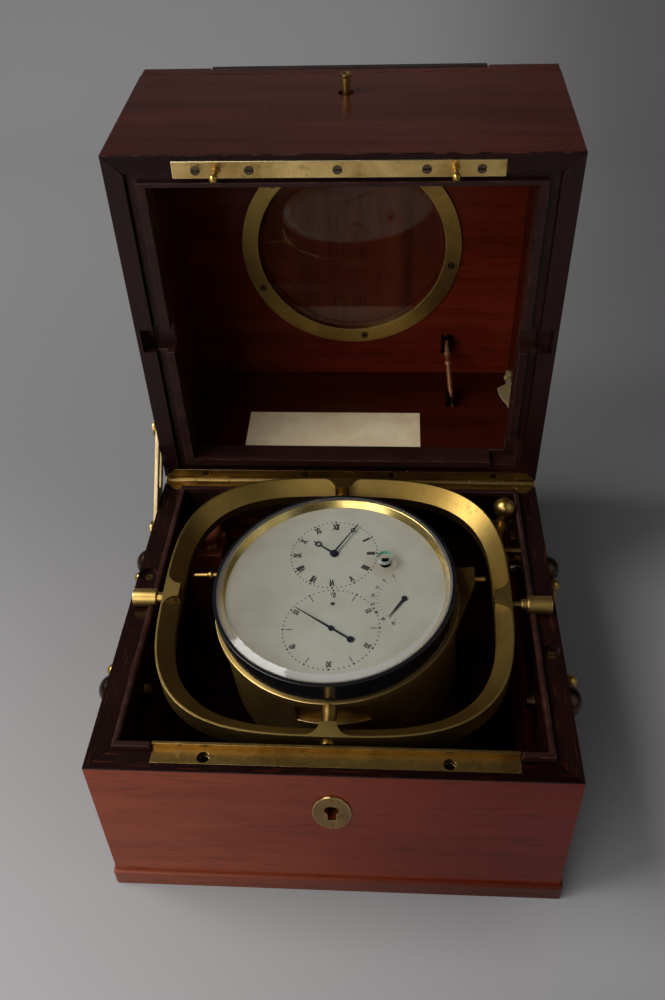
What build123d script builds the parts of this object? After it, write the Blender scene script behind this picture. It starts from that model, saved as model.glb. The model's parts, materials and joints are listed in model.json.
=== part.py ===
from build123d import *
import math
import os

os.makedirs("parts", exist_ok=True)

# Driving dimensions in millimetres and degrees: the wooden case
case_width = 190
case_depth = 173
rim_height = 85
lid_height = 92.6
rim_gap = 0.4
base_board_height = 9
board_overhang = 1.5
board_round = 2.5
front_wall = 11.3
rear_wall = 9.5
side_wall = 12
lid_wall = 8
lid_rear_wall = 6.6
lid_board = 8
lid_open = 86.5
clearance = 0.3
running_fit = 0.05

# The lip that keeps dust out, and the lining that closes over it
lip_thickness = 2.6
lip_height = 2.7
lining_side = 4
lining_front = 2.1
lining_rear = 3.9
lining_height = 11.6
lip_room = 0.5

# The hinge between case and lid
hinge_out = 0.6
hinge_rise = 0.2
knuckle_radius = 2
hinge_pin_radius = 0.9
leaf_thickness = 1
leaf_width = 4.8
leaf_inset = 0.6
screw_inset = 10.4
lid_knuckle_length = 16.9
end_knuckle_length = 15.9

# Screw wells in the side rims
well_inset = 4.8
well_radius = 4.2
well_depth = 2
left_well_y = 18.2
right_well_y = -23.6

# Fasteners with countersunk heads
screw_head = 2
screw_cone = 1.2
screw_shank = 0.9
screw_slot = 0.5

# The lock in the front rim and its two catch pins
lock_plate_span = (-69.5, 72)
lock_plate_width = 7.8
lock_plate_thickness = 1.2
lock_lip_height = 3
catch_pin_spacing = 94.4
catch_pin_shift = -2
catch_pin_set_back = 6.5
catch_pin_length = 9
catch_pin_tip = 1.8
catch_pin_waist = 1.1
bolt_width = 6.2
bolt_thickness = 2
bolt_travel = 4
bolt_half_length = 56
catch_plate_length = 132
catch_plate_shift = -1
catch_plate_width = 7.2
lock_case_width = 64
lock_case_height = 34
keyhole_radius = 3
keyhole_drop = 6.9
keyhole_slot = 3.4
keyhole_rise = 1.9
escutcheon_below_rim = 24.9
escutcheon_half_width = 7.85
escutcheon_half_height = 11.2
escutcheon_pin_reach = 8.8
escutcheon_thickness = 0.9

# The gimbal: bearings on the side rims, tilting ring and bowl
gimbal_rise = 3.5
ring_shift = -1.8
ring_tilt = 5
bowl_tilt = -3.66
bearing_radius = 4
bearing_overhang = 1
bearing_set_back = 2.5
bearing_neck_radius = 2.5
bearing_gap = 1.2
bearing_end_wall = 1.5
pivot_radius = 1.5
ring_half_width = 76.3
ring_half_depth = 71.5
ring_power = 3.23
ring_width = 7
ring_edge = 0.8
ring_height = 10.5
ring_top = 6.5
ring_slope = 6
boss_tip = 3.4
stud_radius = 3.1
bowl_pivot_radius = 1.2
stud_end = 54.5
bowl_radius = 52.5
bowl_depth = 52
bowl_wall = 5.5
bowl_floor = 3
flange_radius = 54
flange_span = (-2.2, 1.6)
band_radius = 53
band_wall = 1.6
band_top = 13
bezel_ledge = 1
notch_width = 31
notch_flat = 49.5
notch_drop = 16
dial_height = 9.5
dial_thickness = 1
dial_view_radius = 48
glass_thickness = 2
glass_underside = 12.4
glass_bevel_width = 3.4
glass_bevel_drop = 1

# Hands and the works below the dial, in the bowl's own plane
time_hub = (-1, 19.2)
seconds_hub = (-0.3, -22.2)
reserve_hub = (30.5, -7.2)
movement_plate = 2.5
winding_place = (22.2, 13)
winding_hole = 3.2
arbor_hole = 2.3
hour_tip = (-10.7, 26.9)
minute_tip = (9.3, 36)
seconds_tip = (-16, -11)
reserve_tip = (23.9, -17)
hand_thickness = 0.3
hour_pipe = 1.3
hub_rim = 0.6
barrel_radius = 17
balance_radius = 13
balance_place = (-14, -14)

# Carrying handles
handle_below_rim = 18
handle_places = (-35, 44)
boss_radius = 7
boss_reach = 9
bail_drop = 30
bail_radius = 2.2
bail_offset = 5
shank_radius = 2
nut_radius = 5
nut_height = 3

# The lever that steadies the ring
lever_from_wall = 5.5
lever_from_rear = 12
lever_ball = 5.25
ball_above_rim = 3
claw_offset = (-6.5, -19.5)
claw_height = 11
claw_below_rim = 1
prong = 1.4
claw_thickness = 2.4
lug_height = 4
lug_spacing = 16
lug_below_rim = 13
arm_below_rim = 9
arm_thickness = 3
stop_pin_radius = 1.6
stop_pin_offset = -22
stop_pin_below_rim = 5
stop_pin_length = 6.4

# The stay beside the lid
stay_reach = 28
stay_drop = 11.1
stay_width = 11
stay_thickness = 2
stay_pin_radius = 1.5

# Window, outer flap and its button
window_radius = 48.3
window_ring_radius = 56.5
window_set_back = 1.5
window_ring_thickness = 1.8
pane_radius = 49.5
pane_thickness = 2.2
flap_half_width = 63
flap_rear = 58
flap_height = 4.8
flap_recess = 3
flap_lift = 0.2
button_drop = 31
button_radius = 2.4
button_shaft = 1.5
button_stand = 6.6
button_head = 1.5
button_collar = 2
collar_reach = (3.3, 5.7)
bar_half_width = 3.5
bar_thickness = 2
hook_rise = 1.8
hook_reach = 1.5
hook_thickness = 1
button_travel = 3
flap_knuckle = 1.6
flap_pin = 0.7

# What the lid carries inside
label_left = -55
label_width = 92
label_height = 30.5
label_above_rim = 16.6
corner_block = 18
block_below_rim = 27
knob_inset = (12, 11)
clip_from_rear = 5.4
clip_below_ceiling = 6
clip_length = 48
clip_thickness = 2
clip_lobe = 4.2
clip_slot_width = 6.4
clip_pin_inset = 6
clip_pin_spacing = 11
clip_pin_radius = 1.3
clip_pin_head = 1
thumb_thickness = 1.2
thumb_rise = 12.5
thumb_outline = ((0, 0), (0.9, 0), (3.8, 6), (5.4, 11), (6, 16), (0, 20.5))
ear_outline = ((48, 17.4), (61.5, 17.7), (61.5, 9), (51, -18.5), (48, -18))
stub_length = 4.5
side_rod_y = 17.8
side_rod_length = 15.5
key_radius = 1.35
key_top_place = (51.4, 22.9, 4)
key_foot_place = (54, 4.5, 27.4)
key_clip_half = 2.8
key_clip_rear = 5.5
key_clip_drop = 2.5
key_foot_drop = 4
key_foot_rise = 3
key_groove_end = 8
key_ball_place = 0.38

# Places that follow from the sizes above
half_width = case_width / 2
half_depth = case_depth / 2
inner_x = half_width - side_wall
inner_front = -half_depth + front_wall
inner_rear = half_depth - rear_wall
lid_rim = rim_height + rim_gap
lid_top = lid_rim + lid_height
lid_ceiling = lid_top - lid_board
lid_inner_x = half_width - lid_wall
lid_inner_front = -half_depth + lid_wall
lid_inner_rear = half_depth - lid_rear_wall
hinge_y = half_depth + hinge_out
hinge_z = rim_height + hinge_rise
gimbal_z = rim_height + gimbal_rise
bearing_span = (inner_x - bearing_overhang, half_width - bearing_set_back)
bearing_neck_end = ring_half_width - ring_shift + bearing_gap
escutcheon_height = rim_height - escutcheon_below_rim
keyhole_height = escutcheon_height + keyhole_rise
handle_height = rim_height - handle_below_rim
lever_place = (inner_x - lever_from_wall, inner_rear - lever_from_rear)
claw_place = (lever_place[0] + claw_offset[0], lever_place[1] + claw_offset[1])
corner_block_top = rim_height - block_below_rim
knob_place = (-inner_x + knob_inset[0], inner_rear - knob_inset[1])
label_z = (lid_rim + label_above_rim, lid_rim + label_above_rim + label_height)
clip_middle = lid_inner_rear - clip_from_rear
clip_span = (lid_ceiling - clip_below_ceiling - clip_length, lid_ceiling - clip_below_ceiling)
key_top = (key_top_place[0], lid_inner_rear - key_top_place[1], lid_ceiling - key_top_place[2])
key_foot = (key_foot_place[0], lid_inner_rear - key_foot_place[1], lid_ceiling - key_foot_place[2])
barrel_floor = -24
movement_floor = -30

# Frames of the open lid, the ring and the bowl, each a turn about its own axis
lid_frame = (
    Location((0, hinge_y, hinge_z))
    * Location((0, 0, 0), (-lid_open, 0, 0))
    * Location((0, -hinge_y, -hinge_z))
)
ring_frame = Location((ring_shift, 0, gimbal_z), (ring_tilt, 0, 0))
bowl_frame = ring_frame * Location((0, 0, 0), (0, bowl_tilt, 0))

hanging = (Align.CENTER, Align.CENTER, Align.MAX)
axis_turns = {"x": (0, 90, 0), "y": (90, 0, 0), "z": (0, 0, 0)}


def in_frame(frame, plane):
    return Plane(frame * plane.location)


# A box given by its limits along x, y and z
def block(x, y, z, mode=Mode.ADD):
    with Locations(((x[0] + x[1]) / 2, (y[0] + y[1]) / 2, (z[0] + z[1]) / 2)):
        Box(x[1] - x[0], y[1] - y[0], z[1] - z[0], mode=mode)


# A cylinder along one axis, given by its limits there and its two other coordinates
def rod(axis, span, radius, across, mode=Mode.ADD):
    middle = (span[0] + span[1]) / 2
    places = {
        "x": (middle, across[0], across[1]),
        "y": (across[0], middle, across[1]),
        "z": (across[0], across[1], middle),
    }
    with Locations(places[axis]):
        Cylinder(radius, span[1] - span[0], rotation=axis_turns[axis], mode=mode)


# Countersunk screws whose heads lie flush at the given places and point down there
def screws(places, length, mode=Mode.ADD):
    with Locations(*places):
        Cone(screw_shank, screw_head, screw_cone, align=hanging, mode=mode)
        with Locations((0, 0, -screw_cone)):
            Cylinder(screw_shank, length - screw_cone, align=hanging, mode=mode)
        if mode == Mode.ADD:
            Box(2 * screw_head, screw_slot, 2 * screw_slot, mode=Mode.SUBTRACT)


def save(builder, name):
    builder.part.label = name
    export_step(builder.part, f"parts/{name}.step")


# Plan of one mitred wall between the outer outline and an inner rectangle
def wall_plan(side, x, front, rear):
    outer = {
        "fl": (-half_width, -half_depth),
        "fr": (half_width, -half_depth),
        "rr": (half_width, half_depth),
        "rl": (-half_width, half_depth),
    }
    inner = {"fl": (-x, front), "fr": (x, front), "rr": (x, rear), "rl": (-x, rear)}
    first, second = {
        "front": ("fl", "fr"),
        "right": ("fr", "rr"),
        "rear": ("rr", "rl"),
        "left": ("rl", "fl"),
    }[side]
    return [outer[first], outer[second], inner[second], inner[first]]


# Fastener places, shared by the screws and by what they hold
leaf_middle = half_depth + hinge_out - knuckle_radius - clearance - leaf_width / 2
leaf_end = half_width - leaf_inset
base_screw_reach = leaf_end - screw_inset
lid_screw_reach = leaf_end - 2 * screw_inset
base_hinge_screws = [(share * base_screw_reach, leaf_middle, rim_height) for share in (-1, -0.5, 0, 0.5, 1)]
lid_hinge_screws = [
    Location((share * lid_screw_reach, leaf_middle, lid_rim), (180, 0, 0)) for share in (-1, -0.3, 0.3, 1)
]
well_x = half_width - well_inset
wells = ((-well_x, left_well_y), (well_x, right_well_y))
well_screws = [(x, y, rim_height - well_depth) for x, y in wells]
catch_y = -half_depth + catch_pin_set_back
catch_plate_y = (catch_y - 3.9, catch_y - 3.9 + catch_plate_width)
catch_plate_x = (catch_plate_shift - catch_plate_length / 2, catch_plate_shift + catch_plate_length / 2)
catch_screw_reach = catch_plate_length / 2 - 9.5
catch_screws = [
    Location((catch_plate_shift + share * catch_screw_reach, catch_y, lid_rim), (180, 0, 0))
    for share in (-1, -0.62, 0, 0.62, 1)
]
catch_pin_x = (catch_pin_shift - catch_pin_spacing / 2, catch_pin_shift + catch_pin_spacing / 2)
ring_screw_radius = (window_radius + window_ring_radius) / 2
ring_screw_z = lid_ceiling - window_ring_thickness
ring_screws = [
    Location(
        (
            ring_screw_radius * math.cos(math.radians(angle)),
            window_set_back + ring_screw_radius * math.sin(math.radians(angle)),
            ring_screw_z,
        ),
        (180, 0, 0),
    )
    for angle in (10, 83, 155, 223)
]
screw_length = 6


# The case: bottom board and four mitred walls
def base_board():
    with BuildPart() as board:
        block(
            (-half_width - board_overhang, half_width + board_overhang),
            (-half_depth - board_overhang, half_depth + board_overhang),
            (0, base_board_height),
        )
        fillet(board.edges().filter_by(Axis.Z), board_overhang)
        fillet(board.faces().sort_by(Axis.Z)[-1].edges(), board_round / 2)
    save(board, "base_board")


lock_plate_rear = inner_front
lock_plate_y = (lock_plate_rear - lock_plate_width, lock_plate_rear)
lock_plate_z = (rim_height - lock_plate_thickness, rim_height)
bolt_y = (catch_y - 2.8, catch_y - 2.8 + bolt_width)
bolt_top = lock_plate_z[0] - 1.2
bolt_floor = bolt_top - bolt_thickness
channel_floor = bolt_floor - clearance
lock_case_y = (bolt_y[0], bolt_y[1])
lock_case_z = (channel_floor - lock_case_height, channel_floor)


def keyhole(span, mode=Mode.SUBTRACT):
    rod("y", span, keyhole_radius, (0, keyhole_height), mode)
    block((-keyhole_slot / 2, keyhole_slot / 2), span, (keyhole_height - keyhole_drop, keyhole_height), mode)


escutcheon_pins = (escutcheon_height - escutcheon_pin_reach, escutcheon_height + escutcheon_pin_reach)


def base_front_wall():
    with BuildPart() as wall:
        with BuildSketch(Plane.XY.offset(base_board_height)):
            with BuildLine():
                Polyline(*wall_plan("front", inner_x, inner_front, inner_rear), close=True)
            make_face()
        extrude(amount=rim_height - base_board_height)
        block(lock_plate_span, lock_plate_y, lock_plate_z, Mode.SUBTRACT)
        block(
            (-bolt_half_length - 1, bolt_half_length + bolt_travel + 1),
            (bolt_y[0] - lip_room / 2, bolt_y[1] + lip_room / 2),
            (channel_floor, rim_height),
            Mode.SUBTRACT,
        )
        block(
            (-lock_case_width / 2, lock_case_width / 2),
            lock_case_y,
            (lock_case_z[0], rim_height),
            Mode.SUBTRACT,
        )
        for x in catch_pin_x:
            rod("z", (channel_floor - 6, rim_height), catch_pin_tip + 0.9, (x, catch_y), Mode.SUBTRACT)
        keyhole((-half_depth, lock_case_y[0]))
        for z in escutcheon_pins:
            rod("y", (-half_depth, -half_depth + 3), screw_slot, (0, z), Mode.SUBTRACT)
    save(wall, "base_front_wall")


def base_rear_wall():
    with BuildPart() as wall:
        with BuildSketch(Plane.XY.offset(base_board_height)):
            with BuildLine():
                Polyline(*wall_plan("rear", inner_x, inner_front, inner_rear), close=True)
            make_face()
        extrude(amount=rim_height - base_board_height)
        hinge_recess(Location(), (rim_height - leaf_thickness, rim_height))
        screws(base_hinge_screws, screw_length, Mode.SUBTRACT)
    save(wall, "base_rear_wall")


def base_side_wall(side, sign):
    outer = sign * half_width
    with BuildPart() as wall:
        with BuildSketch(Plane.XY.offset(base_board_height)):
            with BuildLine():
                Polyline(*wall_plan(side, inner_x, inner_front, inner_rear), close=True)
            make_face()
        extrude(amount=rim_height - base_board_height)
        for y in handle_places:
            rod("x", sorted((sign * inner_x, outer)), shank_radius, (y, handle_height), Mode.SUBTRACT)
        for x, y in wells:
            if x * sign > 0:
                rod("z", (rim_height - well_depth, rim_height), well_radius, (x, y), Mode.SUBTRACT)
        hinge_recess(Location(), (rim_height - leaf_thickness, rim_height))
        screws([place for place in well_screws if place[0] * sign > 0], screw_length, Mode.SUBTRACT)
        if sign < 0:
            rod("x", (outer, outer + 7), stay_pin_radius, stay_foot, Mode.SUBTRACT)
        else:
            rod("x", (inner_x, inner_x + 3), stop_pin_radius, stop_pin_place, Mode.SUBTRACT)
    save(wall, f"base_{side}_wall")


# The lip stands on the innermost strip of the rim and stops beside the bearings
def dust_lip():
    z = (rim_height, rim_height + lip_height)
    outer_x = inner_x + lip_thickness
    rear_y = (inner_rear, inner_rear + lip_thickness)
    bearing_half = bearing_radius + clearance
    with BuildPart() as lip:
        for sign in (-1, 1):
            side = sorted((sign * inner_x, sign * outer_x))
            block(side, (inner_front, -bearing_half), z)
            block(side, (bearing_half, inner_rear), z)
        block((-outer_x, outer_x), rear_y, z)
        front_y = (inner_front - lip_thickness, inner_front)
        block((-outer_x, lock_plate_span[0] - clearance), front_y, z)
        block((lock_plate_span[1] + clearance, outer_x), front_y, z)
        top_edges = lip.edges().group_by(Axis.Z)[-1]
        chamfer(top_edges.filter_by(Axis.Y), 0.7)
    save(lip, "dust_lip")


# Hinge: one leaf on each rim, and the pin through every knuckle
leaf_x = (-leaf_end, leaf_end)
leaf_y = (hinge_y - knuckle_radius - clearance - leaf_width, hinge_y - knuckle_radius - clearance)
leaf_inner = leaf_end - leaf_width
lid_knuckle_x = (leaf_end - end_knuckle_length - lid_knuckle_length, leaf_end - end_knuckle_length)
base_knuckles = (
    (-leaf_end, -lid_knuckle_x[1] - clearance),
    (-lid_knuckle_x[0] + clearance, lid_knuckle_x[0] - clearance),
    (lid_knuckle_x[1] + clearance, leaf_end),
)
lid_knuckles = ((-lid_knuckle_x[1], -lid_knuckle_x[0]), lid_knuckle_x)


# The leaves are mitred at their ends, and the rims are cut to the same outline
def leaf_plan(frame, z, mode=Mode.ADD):
    with BuildSketch(in_frame(frame, Plane.XY.offset(z[0]))) as plan:
        near = (-leaf_inner, leaf_y[0]), (leaf_inner, leaf_y[0])
        far = (leaf_end, leaf_y[1]), (-leaf_end, leaf_y[1])
        Polygon(*near, *far, align=None)
    extrude(plan.sketch, amount=z[1] - z[0], mode=mode)


def hinge_recess(frame, z):
    leaf_plan(frame, z, Mode.SUBTRACT)
    block(leaf_x, (leaf_y[1], half_depth), z, Mode.SUBTRACT)
    rod("x", (-half_width, half_width), knuckle_radius + clearance, (hinge_y, hinge_z), Mode.SUBTRACT)


def hinge_leaf(frame, knuckles, z, bore):
    leaf_plan(frame, z)
    for span in knuckles:
        block(span, (leaf_y[1], hinge_y), z)
        rod("x", span, knuckle_radius, (hinge_y, hinge_z))
    rod("x", leaf_x, bore, (hinge_y, hinge_z), Mode.SUBTRACT)


def hinge():
    with BuildPart() as base_leaf:
        hinge_leaf(Location(), base_knuckles, (rim_height - leaf_thickness, rim_height), hinge_pin_radius)
        screws(base_hinge_screws, screw_length, Mode.SUBTRACT)
    save(base_leaf, "base_hinge_leaf")
    leaf_z = (lid_rim, lid_rim + leaf_thickness)
    with BuildPart(Plane(lid_frame)) as lid_leaf:
        hinge_leaf(lid_frame, lid_knuckles, leaf_z, hinge_pin_radius + running_fit)
        screws(lid_hinge_screws, screw_length, Mode.SUBTRACT)
    save(lid_leaf, "lid_hinge_leaf")
    with BuildPart() as pin:
        rod("x", leaf_x, hinge_pin_radius, (hinge_y, hinge_z))
    save(pin, "hinge_pin")


# Lock: plate, case and sliding bolt in the front rim, and the key plate outside
def lock():
    with BuildPart() as plate:
        block(lock_plate_span, lock_plate_y, lock_plate_z)
        block(
            lock_plate_span,
            (lock_plate_rear - lock_plate_thickness, lock_plate_rear),
            (rim_height, rim_height + lock_lip_height),
        )
        for x in catch_pin_x:
            rod("z", lock_plate_z, catch_pin_tip + 0.7, (x, catch_y), Mode.SUBTRACT)
    save(plate, "lock_plate")
    with BuildPart() as case:
        block((-lock_case_width / 2, lock_case_width / 2), lock_case_y, lock_case_z)
        keyhole((lock_case_y[0], lock_case_y[0] + 4))
    save(case, "lock_case")
    with BuildPart() as bolt:
        block((-bolt_half_length, bolt_half_length), bolt_y, (bolt_floor, bolt_top))
        for x in catch_pin_x:
            rod("z", (bolt_floor, bolt_top), catch_pin_tip + 0.4, (x, catch_y), Mode.SUBTRACT)
            slot_half = catch_pin_waist + clearance
            slot_y = (catch_y - slot_half, catch_y + slot_half)
            slot_x = (x - bolt_travel - slot_half, x)
            block(slot_x, slot_y, (bolt_floor, bolt_top), Mode.SUBTRACT)
    save(bolt, "lock_bolt")
    with BuildPart() as key_plate:
        span = (-half_depth - escutcheon_thickness, -half_depth)
        with BuildSketch(Plane.XZ.offset(half_depth)):
            with Locations((0, escutcheon_height)):
                Ellipse(escutcheon_half_width, escutcheon_half_height)
        extrude(amount=escutcheon_thickness)
        chamfer(key_plate.edges().sort_by(Axis.Y)[0], 0.3)
        keyhole(span)
        for z in escutcheon_pins:
            rod("y", span, screw_slot, (0, z), Mode.SUBTRACT)
    save(key_plate, "escutcheon")


def gimbal_bearings():
    with BuildPart() as bearings:
        for sign in (-1, 1):
            body = sorted((sign * bearing_span[0], sign * bearing_span[1]))
            neck = sorted((sign * bearing_neck_end, sign * bearing_span[0]))
            rod("x", body, bearing_radius, (0, gimbal_z))
            rod("x", neck, bearing_neck_radius, (0, gimbal_z))
            block(body, (-bearing_radius, bearing_radius), (0, rim_height), Mode.SUBTRACT)
            bore = sorted((sign * bearing_neck_end, sign * (bearing_span[1] - bearing_end_wall)))
            rod("x", bore, pivot_radius + running_fit, (0, gimbal_z), Mode.SUBTRACT)
    save(bearings, "gimbal_bearings")


# All screws of the case in one group, with the two pins of the key plate
def base_screws():
    with BuildPart() as group:
        screws(base_hinge_screws + well_screws, screw_length)
        for z in escutcheon_pins:
            rod("y", (-half_depth - escutcheon_thickness - 0.2, -half_depth + 3), screw_slot, (0, z))
    save(group, "base_screws")


# Handle posts: each is a domed boss outside, a shank through the wall and a domed nut inside
def handle_posts():
    bail_x = half_width + bail_offset
    inside = -half_width + inner_x
    with BuildPart() as posts:
        for sign in (-1, 1):
            for y in handle_places:
                face = Plane((sign * half_width, y, handle_height), x_dir=(sign, 0, 0), z_dir=(0, 0, 1))
                with BuildSketch(face):
                    with BuildLine():
                        Polyline(
                            (boss_reach - boss_radius, boss_radius),
                            (0, boss_radius),
                            (0, shank_radius),
                            (inside, shank_radius),
                            (inside, nut_radius),
                            (inside - nut_height, nut_radius - 1.6),
                            (inside - nut_height, 0),
                            (boss_reach, 0),
                        )
                        RadiusArc((boss_reach, 0), (boss_reach - boss_radius, boss_radius), -boss_radius)
                    make_face()
                revolve(axis=Axis((0, y, handle_height), (1, 0, 0)))
                inward = 1 if y < 0 else -1
                bore = sorted((y - inward, y + inward * (boss_radius + 1)))
                bore_radius = pivot_radius + running_fit
                rod("y", bore, bore_radius, (sign * bail_x, handle_height), Mode.SUBTRACT)
    save(posts, "handle_posts")


def bail(name, sign):
    x = sign * (half_width + bail_offset)
    inset = boss_radius + bail_radius + 1.4
    near = handle_places[0] + inset
    far = handle_places[1] - inset
    low = handle_height - bail_drop
    with BuildPart() as handle:
        with BuildLine() as path:
            FilletPolyline(
                (x, near, handle_height), (x, near, low), (x, far, low), (x, far, handle_height), radius=9
            )
        with BuildSketch(Plane(path.line @ 0, z_dir=path.line % 0)):
            Circle(bail_radius)
        sweep(path=path.line)
        for y in (near, far):
            with Locations((x, y, handle_height)):
                Sphere(bail_radius + 0.8)
        pin_ends = ((handle_places[0] + 1, near), (far, handle_places[1] - 1))
        for span in pin_ends:
            rod("y", span, pivot_radius, (x, handle_height))
    save(handle, name)


# Lever with a ball head, on a bracket screwed to the right wall
upper_lug = (rim_height - lug_below_rim - lug_height, rim_height - lug_below_rim)
lower_lug = (upper_lug[0] - lug_spacing, upper_lug[1] - lug_spacing)
arm_z = (rim_height - arm_below_rim, rim_height - arm_below_rim + arm_thickness)
claw_foot = rim_height - claw_below_rim
stop_pin_place = (lever_place[1] + stop_pin_offset, rim_height - stop_pin_below_rim)
bracket_thickness = 1.6
bracket_half = 7
lug_radius = 4


def gimbal_lock():
    x, y = lever_place
    plate_x = (inner_x - bracket_thickness, inner_x)
    with BuildPart() as bracket:
        block(plate_x, (y - bracket_half, y + bracket_half), (lower_lug[0] - 2, upper_lug[1] + 2))
        for lug in (lower_lug, upper_lug):
            block((x, plate_x[0]), (y - lug_radius, y + lug_radius), lug)
            rod("z", lug, lug_radius, (x, y))
            rod("z", lug, shank_radius + running_fit, (x, y), Mode.SUBTRACT)
        rod("x", (inner_x - stop_pin_length, inner_x + 3), stop_pin_radius, stop_pin_place)
    save(bracket, "gimbal_lock_bracket")
    reach = math.dist(lever_place, claw_place)
    angle = math.degrees(math.atan2(claw_place[1] - y, claw_place[0] - x))
    with BuildPart() as lever:
        rod("z", (lower_lug[0] - 2, rim_height), shank_radius, (x, y))
        rod("z", (upper_lug[1] + clearance, arm_z[1]), lug_radius - 0.4, (x, y))
        with Locations((x, y, rim_height + ball_above_rim)):
            Sphere(lever_ball)
        with BuildSketch(Plane.XY.offset(arm_z[0])):
            with Locations(Location(((x + claw_place[0]) / 2, (y + claw_place[1]) / 2), (0, 0, angle))):
                SlotCenterToCenter(reach, 4.4)
        extrude(amount=arm_thickness)
        claw_x = (claw_place[0] - claw_thickness / 2, claw_place[0] + claw_thickness / 2)
        near, far = claw_place[1] - 1.9, claw_place[1] + 2.3
        block(claw_x, (near, far), (arm_z[0], claw_foot))
        block(claw_x, (near, near + prong), (claw_foot, claw_foot + claw_height))
        block(claw_x, (far - prong, far), (claw_foot, claw_foot + claw_height))
    save(lever, "gimbal_lock_lever")


# Turned wooden knob on a block in the left rear corner
def corner_post():
    top = corner_block_top
    with BuildPart() as post:
        block(
            (-inner_x, -inner_x + corner_block),
            (inner_rear - corner_block, inner_rear),
            (base_board_height, top),
        )
        x, y = knob_place
        with BuildSketch(Plane((x, y, top), x_dir=(1, 0, 0), z_dir=(0, -1, 0))):
            with BuildLine():
                Polyline((3, 6), (3, 3.5), (4.5, 2), (4.5, 0), (0, 0), (0, 16.6), (2.2, 16.6), (4.4, 15))
                ThreePointArc((4.4, 15), (6.8, 10.4), (3, 6))
            make_face()
        revolve(axis=Axis((x, y, 0), (0, 0, 1)))
    save(post, "corner_post")


# Stay: a slotted bar that turns half as fast as the lid, on a pivot as far from the hinge as its slot pin
stay_foot = (hinge_y - math.sqrt(stay_reach**2 - stay_drop**2), hinge_z - stay_drop)
stay_pin_closed = (stay_foot[0], hinge_z + stay_drop)
stay_half_angle = math.asin(stay_drop / stay_reach)
stay_x = (-half_width - clearance - stay_thickness, -half_width - clearance)


def lid_stay():
    closed_chord = 2 * stay_drop
    open_chord = 2 * stay_reach * math.sin(stay_half_angle + math.radians(lid_open / 2))
    direction = 90 - lid_open / 2
    slot_half = stay_pin_radius + clearance
    bar_start, bar_end = 0, open_chord + 1
    with BuildPart() as bar:
        with BuildSketch(Plane.YZ.offset(stay_x[0])):
            with Locations(Location(stay_foot, (0, 0, direction))):
                with Locations(((bar_start + bar_end) / 2, 0)):
                    SlotCenterToCenter(bar_end - bar_start, stay_width)
                with Locations(((closed_chord + open_chord) / 2, 0)):
                    SlotCenterToCenter(open_chord - closed_chord, 2 * slot_half, mode=Mode.SUBTRACT)
                Circle(slot_half, mode=Mode.SUBTRACT)
        extrude(amount=stay_thickness)
        chamfer(bar.faces().sort_by(Axis.X)[0].outer_wire().edges(), 0.4)
    save(bar, "lid_stay")
    head_x = (stay_x[0] - clearance - 1.6, stay_x[0] - clearance)
    with BuildPart() as foot_screw:
        rod("x", head_x, 4, stay_foot)
        rod("x", (head_x[1], -half_width + 7), stay_pin_radius, stay_foot)
        slot_y = (stay_foot[0] - 4, stay_foot[0] + 4)
        block((head_x[0], head_x[0] + 0.6), slot_y, slot_across(stay_foot), Mode.SUBTRACT)
    save(foot_screw, "stay_base_screw")
    with BuildPart(Plane(lid_frame)) as slot_screw:
        rod("x", head_x, 4, stay_pin_closed)
        rod("x", (head_x[1], -half_width + 6), stay_pin_radius, stay_pin_closed)
        block(
            (head_x[0], head_x[0] + 0.6),
            (stay_pin_closed[0] - 4, stay_pin_closed[0] + 4),
            slot_across(stay_pin_closed),
            Mode.SUBTRACT,
        )
    save(slot_screw, "stay_lid_screw")


def slot_across(place):
    return (place[1] - 0.4, place[1] + 0.4)


# The lid, drawn closed and placed open by its frame
notch_y = (-5, 7)
notch_x = bearing_span[1] + 0.5
notch_top = gimbal_z + bearing_radius + 0.8


def bearing_notch(sign):
    block(sorted((sign * 70, sign * notch_x)), notch_y, (rim_height, notch_top), Mode.SUBTRACT)


def lid_wall_block(side):
    with BuildSketch(in_frame(lid_frame, Plane.XY.offset(lid_rim))) as plan:
        with BuildLine():
            Polyline(*wall_plan(side, lid_inner_x, lid_inner_front, lid_inner_rear), close=True)
        make_face()
    extrude(plan.sketch, amount=lid_ceiling - lid_rim)


button_z = lid_top - button_drop
shaft_hole = button_shaft + clearance


def lid_walls():
    with BuildPart(Plane(lid_frame)) as front:
        lid_wall_block("front")
        recess_y = (catch_plate_y[0], lid_inner_front)
        block(catch_plate_x, recess_y, (lid_rim, lid_rim + lock_plate_thickness), Mode.SUBTRACT)
        screws(catch_screws, screw_length, Mode.SUBTRACT)
        for x in catch_pin_x:
            rod("z", (lid_rim, lid_rim + 5), catch_pin_waist, (x, catch_y), Mode.SUBTRACT)
        rod("y", (-half_depth, lid_inner_front), shaft_hole, (0, button_z), Mode.SUBTRACT)
        rod("y", (-half_depth, -half_depth + 3), shaft_hole + 1.6, (0, button_z), Mode.SUBTRACT)
    save(front, "lid_front_wall")
    with BuildPart(Plane(lid_frame)) as rear:
        lid_wall_block("rear")
        hinge_recess(lid_frame, (lid_rim, lid_rim + leaf_thickness))
        screws(lid_hinge_screws, screw_length, Mode.SUBTRACT)
    save(rear, "lid_rear_wall")
    for side, sign in (("left", -1), ("right", 1)):
        with BuildPart(Plane(lid_frame)) as wall:
            lid_wall_block(side)
            bearing_notch(sign)
            hinge_recess(lid_frame, (lid_rim, lid_rim + leaf_thickness))
            if sign < 0:
                rod("x", (-half_width, -half_width + 6), stay_pin_radius, stay_pin_closed, Mode.SUBTRACT)
        save(wall, f"lid_{side}_wall")


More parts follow.
